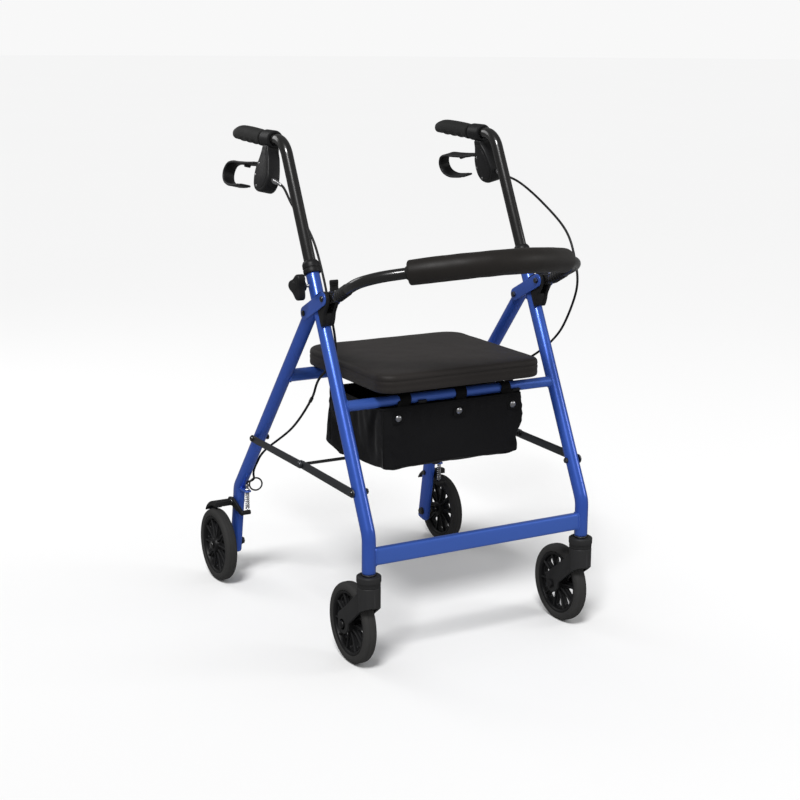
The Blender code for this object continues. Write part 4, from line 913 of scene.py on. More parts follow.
def make_caster(name, side):
    centre = Vector((side * LEG_X, FRONT_Y, 0))
    axle = Vector((side * LEG_X, FRONT_Y + CASTER_TRAIL, WHEEL_R))
    reach = FORK_GAP_HALF + FORK_ARM
    sweep = [(FRONT_Y - 0.0215, 0.1310), (FRONT_Y - 0.0075, 0.1240), (FRONT_Y + 0.0183, 0.1026),
             (FRONT_Y + 0.0420, 0.0830)]  # the fork's lower front edge

    def barrel(bm):
        groove = FORK_TOP_Z - 0.0210
        profile = [
            (0, 0.095), (FORK_R, 0.095), (FORK_R, groove - 0.0012), (FORK_R - 0.0010, groove - 0.0004),
            (FORK_R - 0.0010, groove + 0.0004), (FORK_R, groove + 0.0012), (FORK_R, FORK_TOP_Z - 0.0130),
            (FORK_R + 0.0010, FORK_TOP_Z - 0.0118), (FORK_R + 0.0010, FORK_TOP_Z - 0.0020),
            (FORK_R - 0.0014, FORK_TOP_Z), (0.0150, FORK_TOP_Z), (0.0140, FORK_TOP_Z - 0.0016),
            (0, FORK_TOP_Z - 0.0016),
        ]
        turn(bm, profile, centre, (0, 0, 1), 64, round_by=0.0006)

    def arms(bm):
        outline = [
            (FRONT_Y - 0.0005, 0.1600), (FRONT_Y - 0.0005, 0.1185), *sweep[2:],
            *arc((axle.y, axle.z), 0.0180, 190, 365, 16), (axle.y + 0.0205, WHEEL_R + 0.0160),
            (FRONT_Y + 0.0510, 0.1155), (FRONT_Y + 0.0215, 0.1410),
        ]
        plate(bm, [soften(outline, 0.006, True, 4)], side * LEG_X - reach, side * LEG_X + reach, edge=0.0020,
              steps=4)

    def below(bm):
        outline = [(FRONT_Y - 0.04, sweep[0][1] + 0.006), *sweep, (sweep[-1][0], 0.05),
                   (FRONT_Y - 0.04, 0.05)]
        plate(bm, [soften(outline, 0.008, True, 5)], side * LEG_X - 0.03, side * LEG_X + 0.03, edge=0)

    def clearance(bm):
        gap = Vector((FORK_GAP_HALF, 0, 0))
        tube(bm, [axle - gap, axle + gap], 0.0805, 72, (0, 0, 1))

    def boss(bm):
        for way in (-1, 1):
            ring = [(AXLE_R + 0.0003, -0.0004), (0.0115, -0.0004), (0.0105, 0.0016),
                    (AXLE_R + 0.0003, 0.0016)]
            at = axle + Vector((way * (reach - 0.0016), 0, 0))
            turn(bm, ring, at, (way, 0, 0), 32, ring=True, round_by=0.0003)

    bm = carved(solid("barrel", barrel), (solid("arms", arms),),
                (solid("below", below), solid("clearance", clearance)))
    boss(bm)
    fork = add(f"fork_{name}", bm, FORK_PLASTIC, f"caster_{name}", f"caster_fork_{name}", sharp=30)
    bevelled(fork, 0.0009, 2, 45)

    profile = [
        (0, FORK_TOP_Z - 0.0016), (0.0090, FORK_TOP_Z - 0.0016), (0.0090, FORK_TOP_Z + 0.0006),
        (0.0120, FORK_TOP_Z + 0.0008), (0.0120, LEG_BOTTOM_Z - 0.0006), (STEM_R, LEG_BOTTOM_Z - 0.0004),
        (STEM_R, LEG_BOTTOM_Z + 0.0002), (0, LEG_BOTTOM_Z + 0.0002),
    ]
    turned(f"stem_washer_{name}", profile, centre, (0, 0, 1), BRIGHT, f"caster_{name}",
           f"caster_stem_{name}", steps=36, round_by=0.0003)
    bolt(f"caster_axle_bolt_{name}", HUB_PLASTIC, f"caster_{name}", f"caster_axle_{name}", side,
         Vector((0, axle.y, axle.z)), LEG_X - reach, LEG_X + reach, AXLE_R * 0.95)
    make_wheel("caster", name, axle, side, 0.0152, f"caster_wheel_{name}")


# ---- soft goods ------------------------------------------------------------------------------------
def run_cloth(mesh, pressure, frames, shrink, pin, gravity=0.0):
    """Simulates the mesh as cloth, held where pin(place) is above 0, and writes the result back to it."""
    cloth = bpy.data.objects.new("cloth", mesh)
    bpy.context.scene.collection.objects.link(cloth)
    modifier = cloth.modifiers.new("cloth", "CLOTH")
    settings = modifier.settings
    settings.quality = 5
    settings.mass = 0.25
    settings.tension_stiffness = settings.compression_stiffness = 18
    settings.shear_stiffness = 6
    settings.bending_stiffness = 0.6
    settings.use_pressure = pressure != 0
    settings.uniform_pressure_force = pressure
    settings.effector_weights.gravity = gravity
    settings.shrink_min = settings.shrink_max = shrink
    modifier.collision_settings.use_collision = False
    modifier.collision_settings.use_self_collision = False
    group = cloth.vertex_groups.new(name="pin")
    for vertex in mesh.vertices:
        weight = pin(vertex.co)
        if weight > 0:
            group.add([vertex.index], weight, "REPLACE")
    settings.vertex_group_mass = "pin"
    scene = bpy.context.scene
    modifier.point_cache.frame_start, modifier.point_cache.frame_end = 1, frames
    for number in range(1, frames + 1):
        scene.frame_set(number)
    graph = bpy.context.evaluated_depsgraph_get()
    result = cloth.evaluated_get(graph).to_mesh()
    places = [v.co.copy() for v in result.vertices]
    cloth.evaluated_get(graph).to_mesh_clear()
    bpy.data.objects.remove(cloth)
    scene.frame_set(1)
    for vertex, place in zip(mesh.vertices, places):
        vertex.co = place


def draped(bm, pressure, frames, shrink, pin, share, most, gravity=0.0):
    """The form after a spell as cloth. A point keeps a share of its move, and moves by no more than most."""
    bmesh.ops.recalc_face_normals(bm, faces=bm.faces)
    mesh = bpy.data.meshes.new("cloth_form")
    bm.to_mesh(mesh)
    bm.free()
    start = [v.co.copy() for v in mesh.vertices]
    run_cloth(mesh, pressure, frames, shrink, pin, gravity)
    for vertex, rest in zip(mesh.vertices, start):
        move = (vertex.co - rest) * share(rest)
        limit = most(rest)
        vertex.co = rest + (move if move.length < limit else move.normalized() * limit)
    result = bmesh.new()
    result.from_mesh(mesh)
    bpy.data.meshes.remove(mesh)
    return result


def on_surface(tree, path, centre, outward):
    """Each point of the path moved onto the surface, as seen from far outside, then outward a little."""
    moved = []
    for point in path:
        direction = (point - centre)
        direction.z = 0
        direction.normalize()
        hit = tree.ray_cast(point + direction * 0.1, -direction)[0]
        moved.append((hit or point) + direction * outward)
    return moved


def stitches(bm, path, length, gap, radius, closed=True):
    """Short raised threads along a path."""
    path = dense([*path, path[0]] if closed else path, 0.0006)
    travelled, begun = 0.0, []
    for a, b in zip(path, path[1:]):
        step = (b - a).length
        phase = travelled % (length + gap)
        if phase < length:
            begun.append(a)
        elif begun:
            if len(begun) > 2:
                tube(bm, begun[:: max(1, len(begun) // 3)], radius, 6, (0.3, 0.2, 1), ends=(0, 0))
            begun = []
        travelled += step


def seat_outline(inset=0.0, steps=8):
    """The cushion's outline, with tighter corners in front than behind."""
    x, low, high = SEAT_HALF_X + 0.004 - inset, SEAT_Y[0] + inset, SEAT_Y[1] + 0.002 - inset
    front, rear = 0.034 - inset, 0.042 - inset
    corners = (((x - rear, high - rear), rear, 0), ((rear - x, high - rear), rear, 90),
               ((front - x, low + front), front, 180), ((x - front, low + front), front, 270))
    return [p for centre, radius, start in corners for p in arc(centre, radius, start, start + 90, steps)]


def make_seat():
    low, high = SEAT_Y
    seam_z, crease_z = 0.5180, 0.5080
    wall = [(0.0095, SEAT_TOP_Z), (0.0055, SEAT_TOP_Z - 0.0008), (0.0022, SEAT_TOP_Z - 0.0030),
            (0.0005, SEAT_TOP_Z - 0.0066), (0.0003, seam_z + 0.0030), (0.0012, seam_z),
            (0.0, 0.5158), (0.0, 0.5122), (0.0009, crease_z), (0.0001, 0.5056), (0.0002, 0.5010),
            (0.0012, 0.4978), (0.0048, 0.4962)]  # inset and height down the side
    loop = [Vector((*p, 0)) for p in seat_outline()]
    loop = dense([*loop, loop[0]], 0.006)[:-1]
    middle = Vector((0, (low + high) / 2, 0))
    bm = bmesh.new()

    def row(inset, z, share=1.0):
        return [bm.verts.new(middle + (Vector((*p, 0)) - middle) * share + Vector((0, 0, z)))
                for p in offset_loop([v.xy for v in loop], inset)]

    inward = [1 - k / 22 for k in range(21, 0, -1)]
    rows = [row(wall[0][0], SEAT_TOP_Z, share) for share in inward]
    for vertex in bm.verts:  # a little crown
        across, along = vertex.co.x / SEAT_HALF_X, (vertex.co.y - middle.y) * 2 / (high - low)
        vertex.co.z += 0.0028 * max(0, 1 - across**4) * max(0, 1 - along**4)
    rows += [row(inset, z) for inset, z in wall]
    rows += [row(wall[-1][0], wall[-1][1] - 0.0004, share) for share in (0.9, 0.6, 0.3)]
    skin(bm, rows, (0, -1))

    def stitched(co):
        return 1.0 if min(abs(co.z - seam_z), abs(co.z - crease_z)) < 0.001 or co.z < 0.4965 else 0.0

    def freedom(co):  # the top stays taut
        return 0.05 if co.z > SEAT_TOP_Z - 0.001 else 0.5

    bm = draped(bm, 1.6, 16, 0.0, stitched, freedom, lambda co: 0.0012)
    for vertex in bm.verts:
        if vertex.co.z > seam_z + 0.004:
            vertex.co.z += noise.noise(vertex.co * 30) * 0.0005
    tree = BVHTree.FromBMesh(bm)
    cushion = add("seat_pad", bm, VINYL, "seat", "seat_cushion", sharp=180)
    smooth = cushion.modifiers.new("smooth", "SUBSURF")
    smooth.levels = smooth.render_levels = 1

    def round_side(z, outward):
        path = [Vector((p.x, p.y, z)) for p in loop]
        return on_surface(tree, path, middle + Vector((0, 0, z)), outward)

    bm = bmesh.new()
    for z in (seam_z, crease_z):
        seam = round_side(z, -0.0003)
        tube(bm, [*seam, seam[0]], 0.0006, 6, (0, 0, 1))
    add("seat_piping", bm, VINYL, "seat", sharp=180)
    bm = bmesh.new()
    stitches(bm, round_side(seam_z + 0.0026, 0.0001), 0.0030, 0.0016, 0.00028)
    add("seat_stitching", bm, THREAD, "seat", sharp=180)

    # moulded panel under the cushion: ribs, and two hooks that turn on the front cross tube
    bm = bmesh.new()
    for front, drop in ((low + 0.012, 0.0012), (-0.140, 0.0050)):
        panel = rounded_rectangle((-SEAT_HALF_X + 0.013, front), (SEAT_HALF_X - 0.013, 0.050), 0.014, 8)
        plate(bm, [panel], SEAT_BASE_Z - drop, SEAT_BASE_Z + 0.001, XY, edge=0.0010, steps=2)
    for k in range(5):
        x = -0.12 + 0.06 * k
        rib = rounded_rectangle((x - 0.002, -0.12), (x + 0.002, 0.045), 0.0015, 3)
        plate(bm, [rib], SEAT_BASE_Z - 0.0085, SEAT_BASE_Z - 0.004, XY, edge=0.0005)
    add("seat_panel", bm, PLASTIC, "seat", "seat_base")
    tube_at = on_leg(1, SEAT_TUBE_AT)
    near, far = SEAT_TUBE_R + 0.0006, SEAT_TUBE_R + 0.0050
    bm = bmesh.new()
    shape = [
        *arc((tube_at.y, tube_at.z), far, 190, 365, 18), (tube_at.y + far + 0.006, SEAT_BASE_Z - 0.001),
        (tube_at.y + near, SEAT_BASE_Z - 0.001), *arc((tube_at.y, tube_at.z), near, 360, 190, 18),
    ]
    for x in (-0.077, 0.128):
        plate(bm, [shape], x, x + 0.017, edge=0.0006)
    add("seat_hooks", bm, PLASTIC, "seat")


def bag_ring(front, rear, inset=0.0):
    """A ring of the bag's wall. front and rear are the (y, z) of its two long sides."""
    low, high = BAG_Y
    loop = rounded_rectangle((-BAG_HALF_X, low), (BAG_HALF_X, high), 0.0035, 2)
    loop = dense([Vector((*p, 0)) for p in [*loop, loop[0]]], 0.0085)[:-1]
    ring = []
    for point in loop:
        share = (point.y - low) / (high - low)
        y, z = (a + (b - a) * share for a, b in zip(front, rear))
        half = BAG_HALF_X
        if point.x < 0:
            half += (0.004 - 0.05 * (BAG_Z[1] - z)) * (1 - share)
        else:  # the slack side is drawn in, with a fold near its foot
            fold = max(0, 1 - abs(z - 0.382) / 0.020)
            half -= (0.0075 - 0.0040 * sin(pi * (BAG_Z[1] - z) / 0.08) + 0.009 * fold) * (1 - share)
        ring.append(Vector((point.x / BAG_HALF_X * (half - inset), y + inset * (1 - 2 * share), z)))
    return ring


def bag_floor(y):
    """The height of the bag's floor, which hangs a little on each side of the cross rod."""
    share = max(0, min(1, (y - BAG_Y[0]) / 0.19))
    over_rod = 0.006 / (1 + ((y - BRACE_MIDDLE[0]) / 0.010) ** 4)
    return 0.3475 - 0.0105 * share - 0.004 * sin(pi * share) + over_rod


def make_bag():
    """A fabric box: rings down its wall and a floor, slackened and blown out as cloth, then given its
    thickness, bindings, straps and press studs."""
    low, high = BAG_Y
    bottom, top = BAG_Z
    sides = []
    for k in range(14):
        share = k / 13
        sides.append(((low - 0.001 * sin(pi * share), top - 0.104 * share),
                      (high + 0.022 * share, top - 0.106 * share)))
    sides += [
        ((low - 0.0008, 0.3520), (0.0610, 0.3500)), ((low + 0.0002, 0.3495), (0.0480, 0.3465)),
        ((low + 0.0014, 0.3485), (0.0220, 0.3440)), ((low + 0.0030, 0.3480), (0.0150, 0.3400)),
        ((low + 0.0060, 0.3475), (0.0130, 0.3365)),
    ]
    bm = bmesh.new()
    rings = [[bm.verts.new(p) for p in bag_ring(front, rear)] for front, rear in sides]
    for k, ring in enumerate(rings[-5:]):
        for vertex in ring:
            vertex.co.x *= 1 - 0.0025 * k
    rim = rings[-1]
    middle = sum((v.co for v in rim), Vector()) / len(rim)
    for k in range(1, 14):
        share = 1 - k / 13.6
        ring = []
        for vertex in rim:
            place = middle + (vertex.co - middle) * share
            settle = min(1, k / 3)
            place.z = vertex.co.z + (bag_floor(place.y) - vertex.co.z) * settle
            ring.append(bm.verts.new(place))
        rings.append(ring)
    skin(bm, rings, (-1,))

    def corner(co):
        return abs(abs(co.x) - BAG_HALF_X) < 0.014 and (co.y < low + 0.012 or co.y > high - 0.012)

    def held(co):
        return 1.0 if co.z > top - 0.004 else 0.8 if corner(co) else 0.0

    bm = draped(bm, 0.5, 40, -0.035, held, lambda co: 1.0, lambda co: 0.0012 if corner(co) else 0.0060,
                gravity=0.5)
    for vertex in bm.verts:  # creases the coarse cloth can't hold
        depth = 0.0011 * noise.fractal(vertex.co * 34, 0.8, 2.1, 4)
        vertex.co += vertex.normal * depth * max(0, min(1, (top - vertex.co.z) / 0.03))
        if abs(vertex.co.y - BRACE_MIDDLE[0]) < 0.008:
            vertex.co.z = max(vertex.co.z, BRACE_MIDDLE[1] + 0.0045)
    tree = BVHTree.FromBMesh(bm)
    bag = add("bag_shell", bm, NYLON, "frame", "storage_bag", sharp=180)
    thick = bag.modifiers.new("thick", "SOLIDIFY")
    thick.thickness, thick.offset = 0.0012, -1
    smooth = bag.modifiers.new("smooth", "SUBSURF")
    smooth.levels = smooth.render_levels = 1
    applied(bag)

    bm = bmesh.new()
    for x in (-1, 1):
        for y in BAG_Y:
            away = Vector((x, -1 if y < 0 else 1, 0)).normalized()
            path = []
            for k in range(24):
                at = Vector((x * (BAG_HALF_X - 0.006), y - 0.006 * copysign(1, y), top - 0.001))
                at.z += (bottom - top + 0.006) * k / 23
                hit = tree.ray_cast(at + away * 0.06, -away)[0]
                path.append((hit or at) + away * 0.0003)
            tube(bm, path, 0.0014, 8, (1, 0, 0), ends=(0.0005, 0.0005))
    rim = bag_ring(*sides[0], 0.0004)
    tube(bm, [*rim, rim[0]], (0.0012, 0.0030), 10, (1, 0, 0))
    binding = add("bag_binding", bm, WEBBING, "frame", sharp=180)

    tube_at = on_leg(1, SEAT_TUBE_AT)
    wrap = SEAT_TUBE_R + 0.0012
    bm, studs = bmesh.new(), bmesh.new()
    for over, snap, half in ((-0.1050, -0.1210, 0.0130), (0.0160, 0.0090, 0.0115), (0.1150, 0.1260, 0.0115)):
        face = tree.ray_cast(Vector((snap, -0.30, 0.4410)), Vector((0, 1, 0)))[0].y
        path = [Vector((snap, face - 0.0014, 0.4310)), Vector((snap, face - 0.0017, 0.4410)),
                Vector((snap + (over - snap) * 0.4, face - 0.0008, 0.4520))]
        for k in range(13):
            angle = radians(200 - 250 * k / 12)
            path.append(Vector((over, tube_at.y + wrap * cos(angle), tube_at.z + wrap * sin(angle))))
        path += [Vector((over, tube_at.y - 0.0005, 0.4600)), Vector((over, low + 0.010, 0.4540)),
                 Vector((over, low + 0.0042, 0.4440))]
        tube(bm, curve_points(path, 3), (half, 0.0009), 16, (1, 0, 0), power=5, ends=(0.0003, 0.0003))
        button = [(0, 0.0036), (0.0026, 0.0035), (0.0042, 0.0026), (0.0060, 0.0013), (0.0065, 0.0004),
                  (0.0065, 0), (0, 0)]
        turn(studs, button, (snap, face - 0.0022, 0.4410), (0, -1, 0), 32, round_by=0.0004)
    add("bag_straps", bm, WEBBING, "frame", sharp=60)
    add("bag_press_studs", studs, BRIGHT, "frame")
    for piece in (bag, binding):  # the bag and its binding each get a mesh of their own
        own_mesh(piece)


def applied(obj):
    """The object with its modifiers made real."""
    bpy.context.view_layer.update()
    graph = bpy.context.evaluated_depsgraph_get()
    mesh = bpy.data.meshes.new_from_object(obj.evaluated_get(graph))
    obj.modifiers.clear()
    obj.data = mesh
    return obj


# ---- backrest --------------------------------------------------------------------------------------
def bow(x):
    return Vector((x, BOW_Y + BOW_BACK * x * x, BOW_Z - BOW_DROP * x * x))


def make_backrest():
    arch = [bow(PAD_HALF_X * (-1 + 2 * k / 24)) for k in range(25)]
    ends = {}
    for side in (-1, 1):
        knots = [
            Vector((side * LEG_X, -0.1450, 0.6685)), Vector((side * LEG_X, -0.1800, 0.6860)),
            Vector((side * 0.2270, -0.2220, 0.7050)), Vector((side * 0.2020, -0.2545, 0.7180)),
        ]
        ends[side] = curve_points([*knots, bow(side * PAD_HALF_X)], 6)
    path = ends[-1][:-1] + arch + ends[1][:-1][::-1]
    bm = bmesh.new()
    tube(bm, path, BACKREST_R, 28, (0, 0, 1), ends=(0.002, 0.002))
    for side in (-1, 1):
        front, start = backrest_pivot().yz, ends[side][0]
        outline = link_outline(front, (start.y - 0.006, start.z + 0.003), 0.0105, 0.0092)
        plate(bm, [outline, circle(front, 0.0032)], side * LEG_X - 0.0050, side * LEG_X + 0.0050, edge=0.0012)
    add("backrest_tube", bm, BLACK_PAINT, "backrest", "backrest_bar")
    bm = bmesh.new()
    for side in (-1, 1):  # ribbed sleeve where each end of the bar leaves its socket
        a, b = ends[side][1], ends[side][7]
        count = 5
        for k in range(count):
            at = a.lerp(b, (k + 0.5) / count)
            axis = (b - a).normalized()
            ring = [(BACKREST_R - 0.0004, -0.0022), (BACKREST_R + 0.0011, -0.0018),
                    (BACKREST_R + 0.0011, 0.0018), (BACKREST_R - 0.0004, 0.0022)]
            turn(bm, ring, at, axis, 28, ring=True, round_by=0.0004)
    add("backrest_sleeves", bm, PLASTIC, "backrest")

    bm = bmesh.new()
    count = 72
    path, radii = [], []
    for k in range(count + 1):
        x = PAD_HALF_X * (-1 + 2 * k / count)
        path.append(bow(x))
        edge = min(k, count - k) / count
        radii.append(PAD_R * (1 - 0.02 * max(0, 1 - edge * 25)) + 0.00025 * sin(x * 90) * cos(x * 47))
    tube(bm, path, radii, 40, (0, 0, 1), ends=(0.0035, 0.0035))
    for vertex in bm.verts:
        vertex.co += (vertex.co - bow(vertex.co.x)).normalized() * 0.00035 * noise.noise(vertex.co * 45)
    add("backrest_foam", bm, FOAM, "backrest", "backrest_pad", sharp=60)
    bm = bmesh.new()
    for side in (-1, 1):
        end = bow(side * PAD_HALF_X)
        axis = (bow(side * PAD_HALF_X) - bow(side * (PAD_HALF_X - 0.01))).normalized()
        ring = [(BACKREST_R + 0.0001, 0.0), (BACKREST_R + 0.0016, 0.0), (BACKREST_R + 0.0016, 0.0040),
                (BACKREST_R + 0.0001, 0.0046)]
        turn(bm, ring, end, axis, 28, ring=True, round_by=0.0005)
    add("foam_end_rings", bm, RUBBER, "backrest")


# ---- handles ---------------------------------------------------------------------------------------
def make_handle(name, side):
    body = f"handle_{name}"
    corner = on_leg(side, (GRIP_Z - FRONT_BEND_Z) / cos(RAKE))
    end = Vector((side * LEG_X, GRIP_START_Y + 0.080, GRIP_Z))
    path = fillet([on_leg(side, HANDLE_FROM), corner, end], HANDLE_BEND_R, 14)
    bm = bmesh.new()
    tube(bm, path, HANDLE_R, 32, ends=(0.001, 0.001))
    add(f"handle_bar_{name}", bm, BLACK_PAINT, body, f"handle_tube_{name}")

    # grip: a palm swell above, finger dips below, ribs on top and a tapered end
    length = GRIP_END_Y - GRIP_START_Y
    swell_at, rows, sides = 0.70, 64, 40

    def grip_radius(share, angle):
        up = (1 + sin(angle)) / 2
        above = 0.0147 + 0.0038 * sin(pi / 2 * min(1, share / swell_at))
        above -= 0.0075 * (max(0, share - swell_at) / (1 - swell_at)) ** 2
        below = 0.0147 - 0.0052 * share + 0.0008 * max(0, 0.05 - share) / 0.05
        dips = 0.0011 * cos(2 * pi * 4 * (share - 0.06) / 0.86) if 0.06 < share < 0.86 else 0
        ribs = 0.00035 * cos(2 * pi * 26 * share) if 0.10 < share < 0.86 else 0
        return below + (above - below) * up + dips * max(0, -sin(angle)) + ribs * max(0, sin(angle))

    bm = bmesh.new()

    def grip_ring(y, radius):
        angles = [2 * pi * (k + 0.5) / sides for k in range(sides)]
        return [bm.verts.new((side * LEG_X + radius(a) * cos(a), y, GRIP_Z + radius(a) * sin(a)))
                for a in angles]

    bore = HANDLE_R + 0.0002
    rings = [grip_ring(y, lambda a: bore) for y in (end.y + 0.0005, GRIP_START_Y)]
    for i in range(rows + 1):
        share = i / rows
        less = 0.0012 if i in (0, rows) else 0
        rings.append(grip_ring(GRIP_START_Y + length * share, lambda a: grip_radius(share, a) - less))
    rings.append(grip_ring(GRIP_END_Y + 0.0012, lambda a: grip_radius(1, a) * 0.72))
    skin(bm, rings, (0, -1))
    add(f"hand_grip_{name}", bm, RUBBER, body, f"grip_{name}", sharp=45)

    # brake housing: clamp ring, hanging body with a slot for the lever, raised covers
    place = brake_matrix(side)
    low, high = 0.108, 0.148
    inner = HANDLE_R + 0.0003
    outline = soften([
        (0.1320, -0.0130), (0.1330, -0.0280), (0.1375, -0.0420), (0.1440, -0.0560), (0.1445, -0.0740),
        (0.1400, -0.0890), (0.1310, -0.0980), (0.1180, -0.1015), (0.1020, -0.1010), (0.0900, -0.0950),
        (0.0825, -0.0820), (0.0825, -0.0700), (0.0885, -0.0540), (0.0985, -0.0330), (0.1080, -0.0220),
        (0.1110, -0.0130),
    ], 0.006, True, 4)
    room = [(0.1180, -0.0320), (0.1700, -0.0320), (0.1700, -0.0640), (0.1180, -0.0640)]

    def block(bm):
        plate(bm, [outline], -0.0135, 0.0135, place, edge=0.0036, steps=4)

    def ring(bm):
        profile = [(inner, low), (0.0160, low), (0.0168, low + 0.003), (0.0168, high - 0.003),
                   (0.0160, high), (inner, high)]
        turn(bm, profile, (side * LEG_X, 0, GRIP_Z), (0, 1, 0), 40, ring=True, round_by=0.001)

    def bore(bm):
        ends = [Vector((side * LEG_X, y, GRIP_Z)) for y in (low - 0.02, high + 0.02)]
        tube(bm, ends, inner, 40)

    def slot(bm):
        plate(bm, [room], -0.0112, 0.0112, place, edge=0.0004)

    bm = carved(solid("block", block), (solid("ring", ring),), (solid("bore", bore), solid("slot", slot)))
    middle, share = Vector((0.1125, -0.0620)), 0.80  # the raised cover on each side of the body
    face = [middle.lerp(corner, share) for corner in outline]
    for way in (-1, 1):
        plate(bm, [face], *between(way, 0.0130, 0.0143), place, edge=0.0006)
    add(f"brake_body_{name}", bm, PLASTIC, body, f"brake_housing_{name}", sharp=32)
    bm = bmesh.new()
    for y, below in ((0.1300, 0.0497), (0.1357, 0.0709), (0.1222, 0.0911)):
        for way in (-1, 1):
            at = brake_unit(side, y, below, way * 0.0136)
            axis = brake_unit(side, 0, 0, way) - brake_unit(side, 0, 0, 0)
            head = [(0, 0.0015), (0.0016, 0.0014), (0.0024, 0.0008), (0.0026, 0), (0.0026, -0.001),
                    (0, -0.001)]
            turn(bm, head, at, axis, 20, round_by=0.0003)
    add(f"brake_screws_{name}", bm, BRIGHT, body)

    # loop lever: a flat band with thickened edges, root in the slot
    knots = [
        (0.1300, 0.0480), (0.1560, 0.0490), (0.1900, 0.0525), (0.2300, 0.0545), (0.2620, 0.0555),
        (0.2835, 0.0620), (0.2925, 0.0775), (0.2850, 0.0930), (0.2620, 0.1000), (0.2330, 0.0990),
        (0.2020, 0.0955),
    ]
    path = curve_points([brake_unit(side, y, below) for y, below in knots], 8)
    widths = []
    for k, point in enumerate(path):
        share = max(0, min(1, (point.y - 0.152) / 0.040)) if k < len(path) * 0.6 else 1
        share = share * share * (3 - 2 * share)
        widths.append((0.0078 + 0.0040 * share, 0.0024))
    across = brake_unit(side, 0, 0, 1) - brake_unit(side, 0, 0, 0)
    bm = bmesh.new()
    tube(bm, path, widths, 28, across, power=4.5, ends=(0.0012, 0.0020))
    for way in (-1, 1):
        rail = [point + across * way * (wide - 0.0016) for point, (wide, _) in zip(path, widths)][10:-3]
        tube(bm, rail, 0.0026, 10, across, ends=(0.001, 0.001))
    pin = [brake_unit(side, 0.1300, 0.0480, w) for w in (-0.0108, 0.0108)]
    tube(bm, pin, 0.0052, 20, (0, 0, 1), ends=(0.0006, 0.0006))
    stop = [brake_unit(side, 0.2100, 0.0570, w) for w in (-0.0060, 0.0060)]
    tube(bm, stop, 0.0040, 16, (0, 0, 1), ends=(0.0012, 0.0012))
    add(f"loop_lever_{name}", bm, PLASTIC, f"lever_{name}", f"brake_lever_{name}", sharp=45)

    start, axis = cable_start(side)
    profile = [(0, -0.003), (0.0050, -0.003), (0.0050, 0.0024), (0.0044, 0.0030)]
    for k in range(3):
        z = 0.0034 + 0.0018 * k
        profile += [(0.0046, z), (0.0046, z + 0.0009), (0.0041, z + 0.0013)]
    profile += [(0.0034, 0.0092), (0.0034, 0.0130), (0.0028, 0.0136), (0, 0.0136)]
    turned(f"barrel_adjuster_{name}", profile, start, axis, BRIGHT, body, f"cable_adjuster_{name}", steps=28,
           round_by=0.0003)


def make_knob(name, side):
    centre = on_leg(side, KNOB_AT)
    outline = []
    steps = 90
    for k in range(steps):
        angle = 2 * pi * k / steps
        radius = KNOB_R * (0.775 + 0.20 * cos(3 * angle) + 0.025 * cos(6 * angle))
        outline.append((radius * cos(angle), radius * sin(angle)))
    near, far = LEG_X + LEG_R + 0.014, LEG_X + LEG_R + 0.030
    place = Matrix.Translation((0, centre.y, centre.z)) @ YZ
    bm = bmesh.new()
    plate(bm, [outline], *between(side, near, far), place, edge=0.0034, steps=5)
    boss = [(0, near + 0.002), (0.0105, near + 0.002), (0.0105, near - 0.0005), (0.0088, near - 0.006),
            (0, near - 0.006)]
    turn(bm, boss, (0, centre.y, centre.z), (side, 0, 0), 32, round_by=0.001)
    cap = [(0.0, far + 0.0008), (0.0090, far + 0.0008), (0.0105, far - 0.0004), (0.0, far - 0.001)]
    turn(bm, cap, (0, centre.y, centre.z), (side, 0, 0), 32, round_by=0.0006)
    add(f"knob_handle_{name}", bm, PLASTIC, f"knob_{name}", f"height_knob_{name}", sharp=45)
    profile = [(0, near - 0.0055), (0.0029, near - 0.0055)]
    z = near - 0.0062
    while z > LEG_X + LEG_R + 0.0004:
        profile += [(0.0030, z), (0.0027, z - 0.0005)]
        z -= 0.0010
    profile += [(0.0029, LEG_X + LEG_BORE_R + 0.0003), (0, LEG_X + LEG_BORE_R + 0.0003)]
    turned(f"knob_stud_{name}", profile, (0, centre.y, centre.z), (side, 0, 0), BRIGHT, f"knob_{name}",
           steps=20, round_by=0)


# ---- cables ----------------------------------------------------------------------------------------
def cable_start(side):
    """The barrel adjuster's foot on the brake housing, and the way it points."""
    return brake_unit(side, 0.0800, 0.0760), Vector((-side * 0.25, -0.80, -0.25)).normalized()


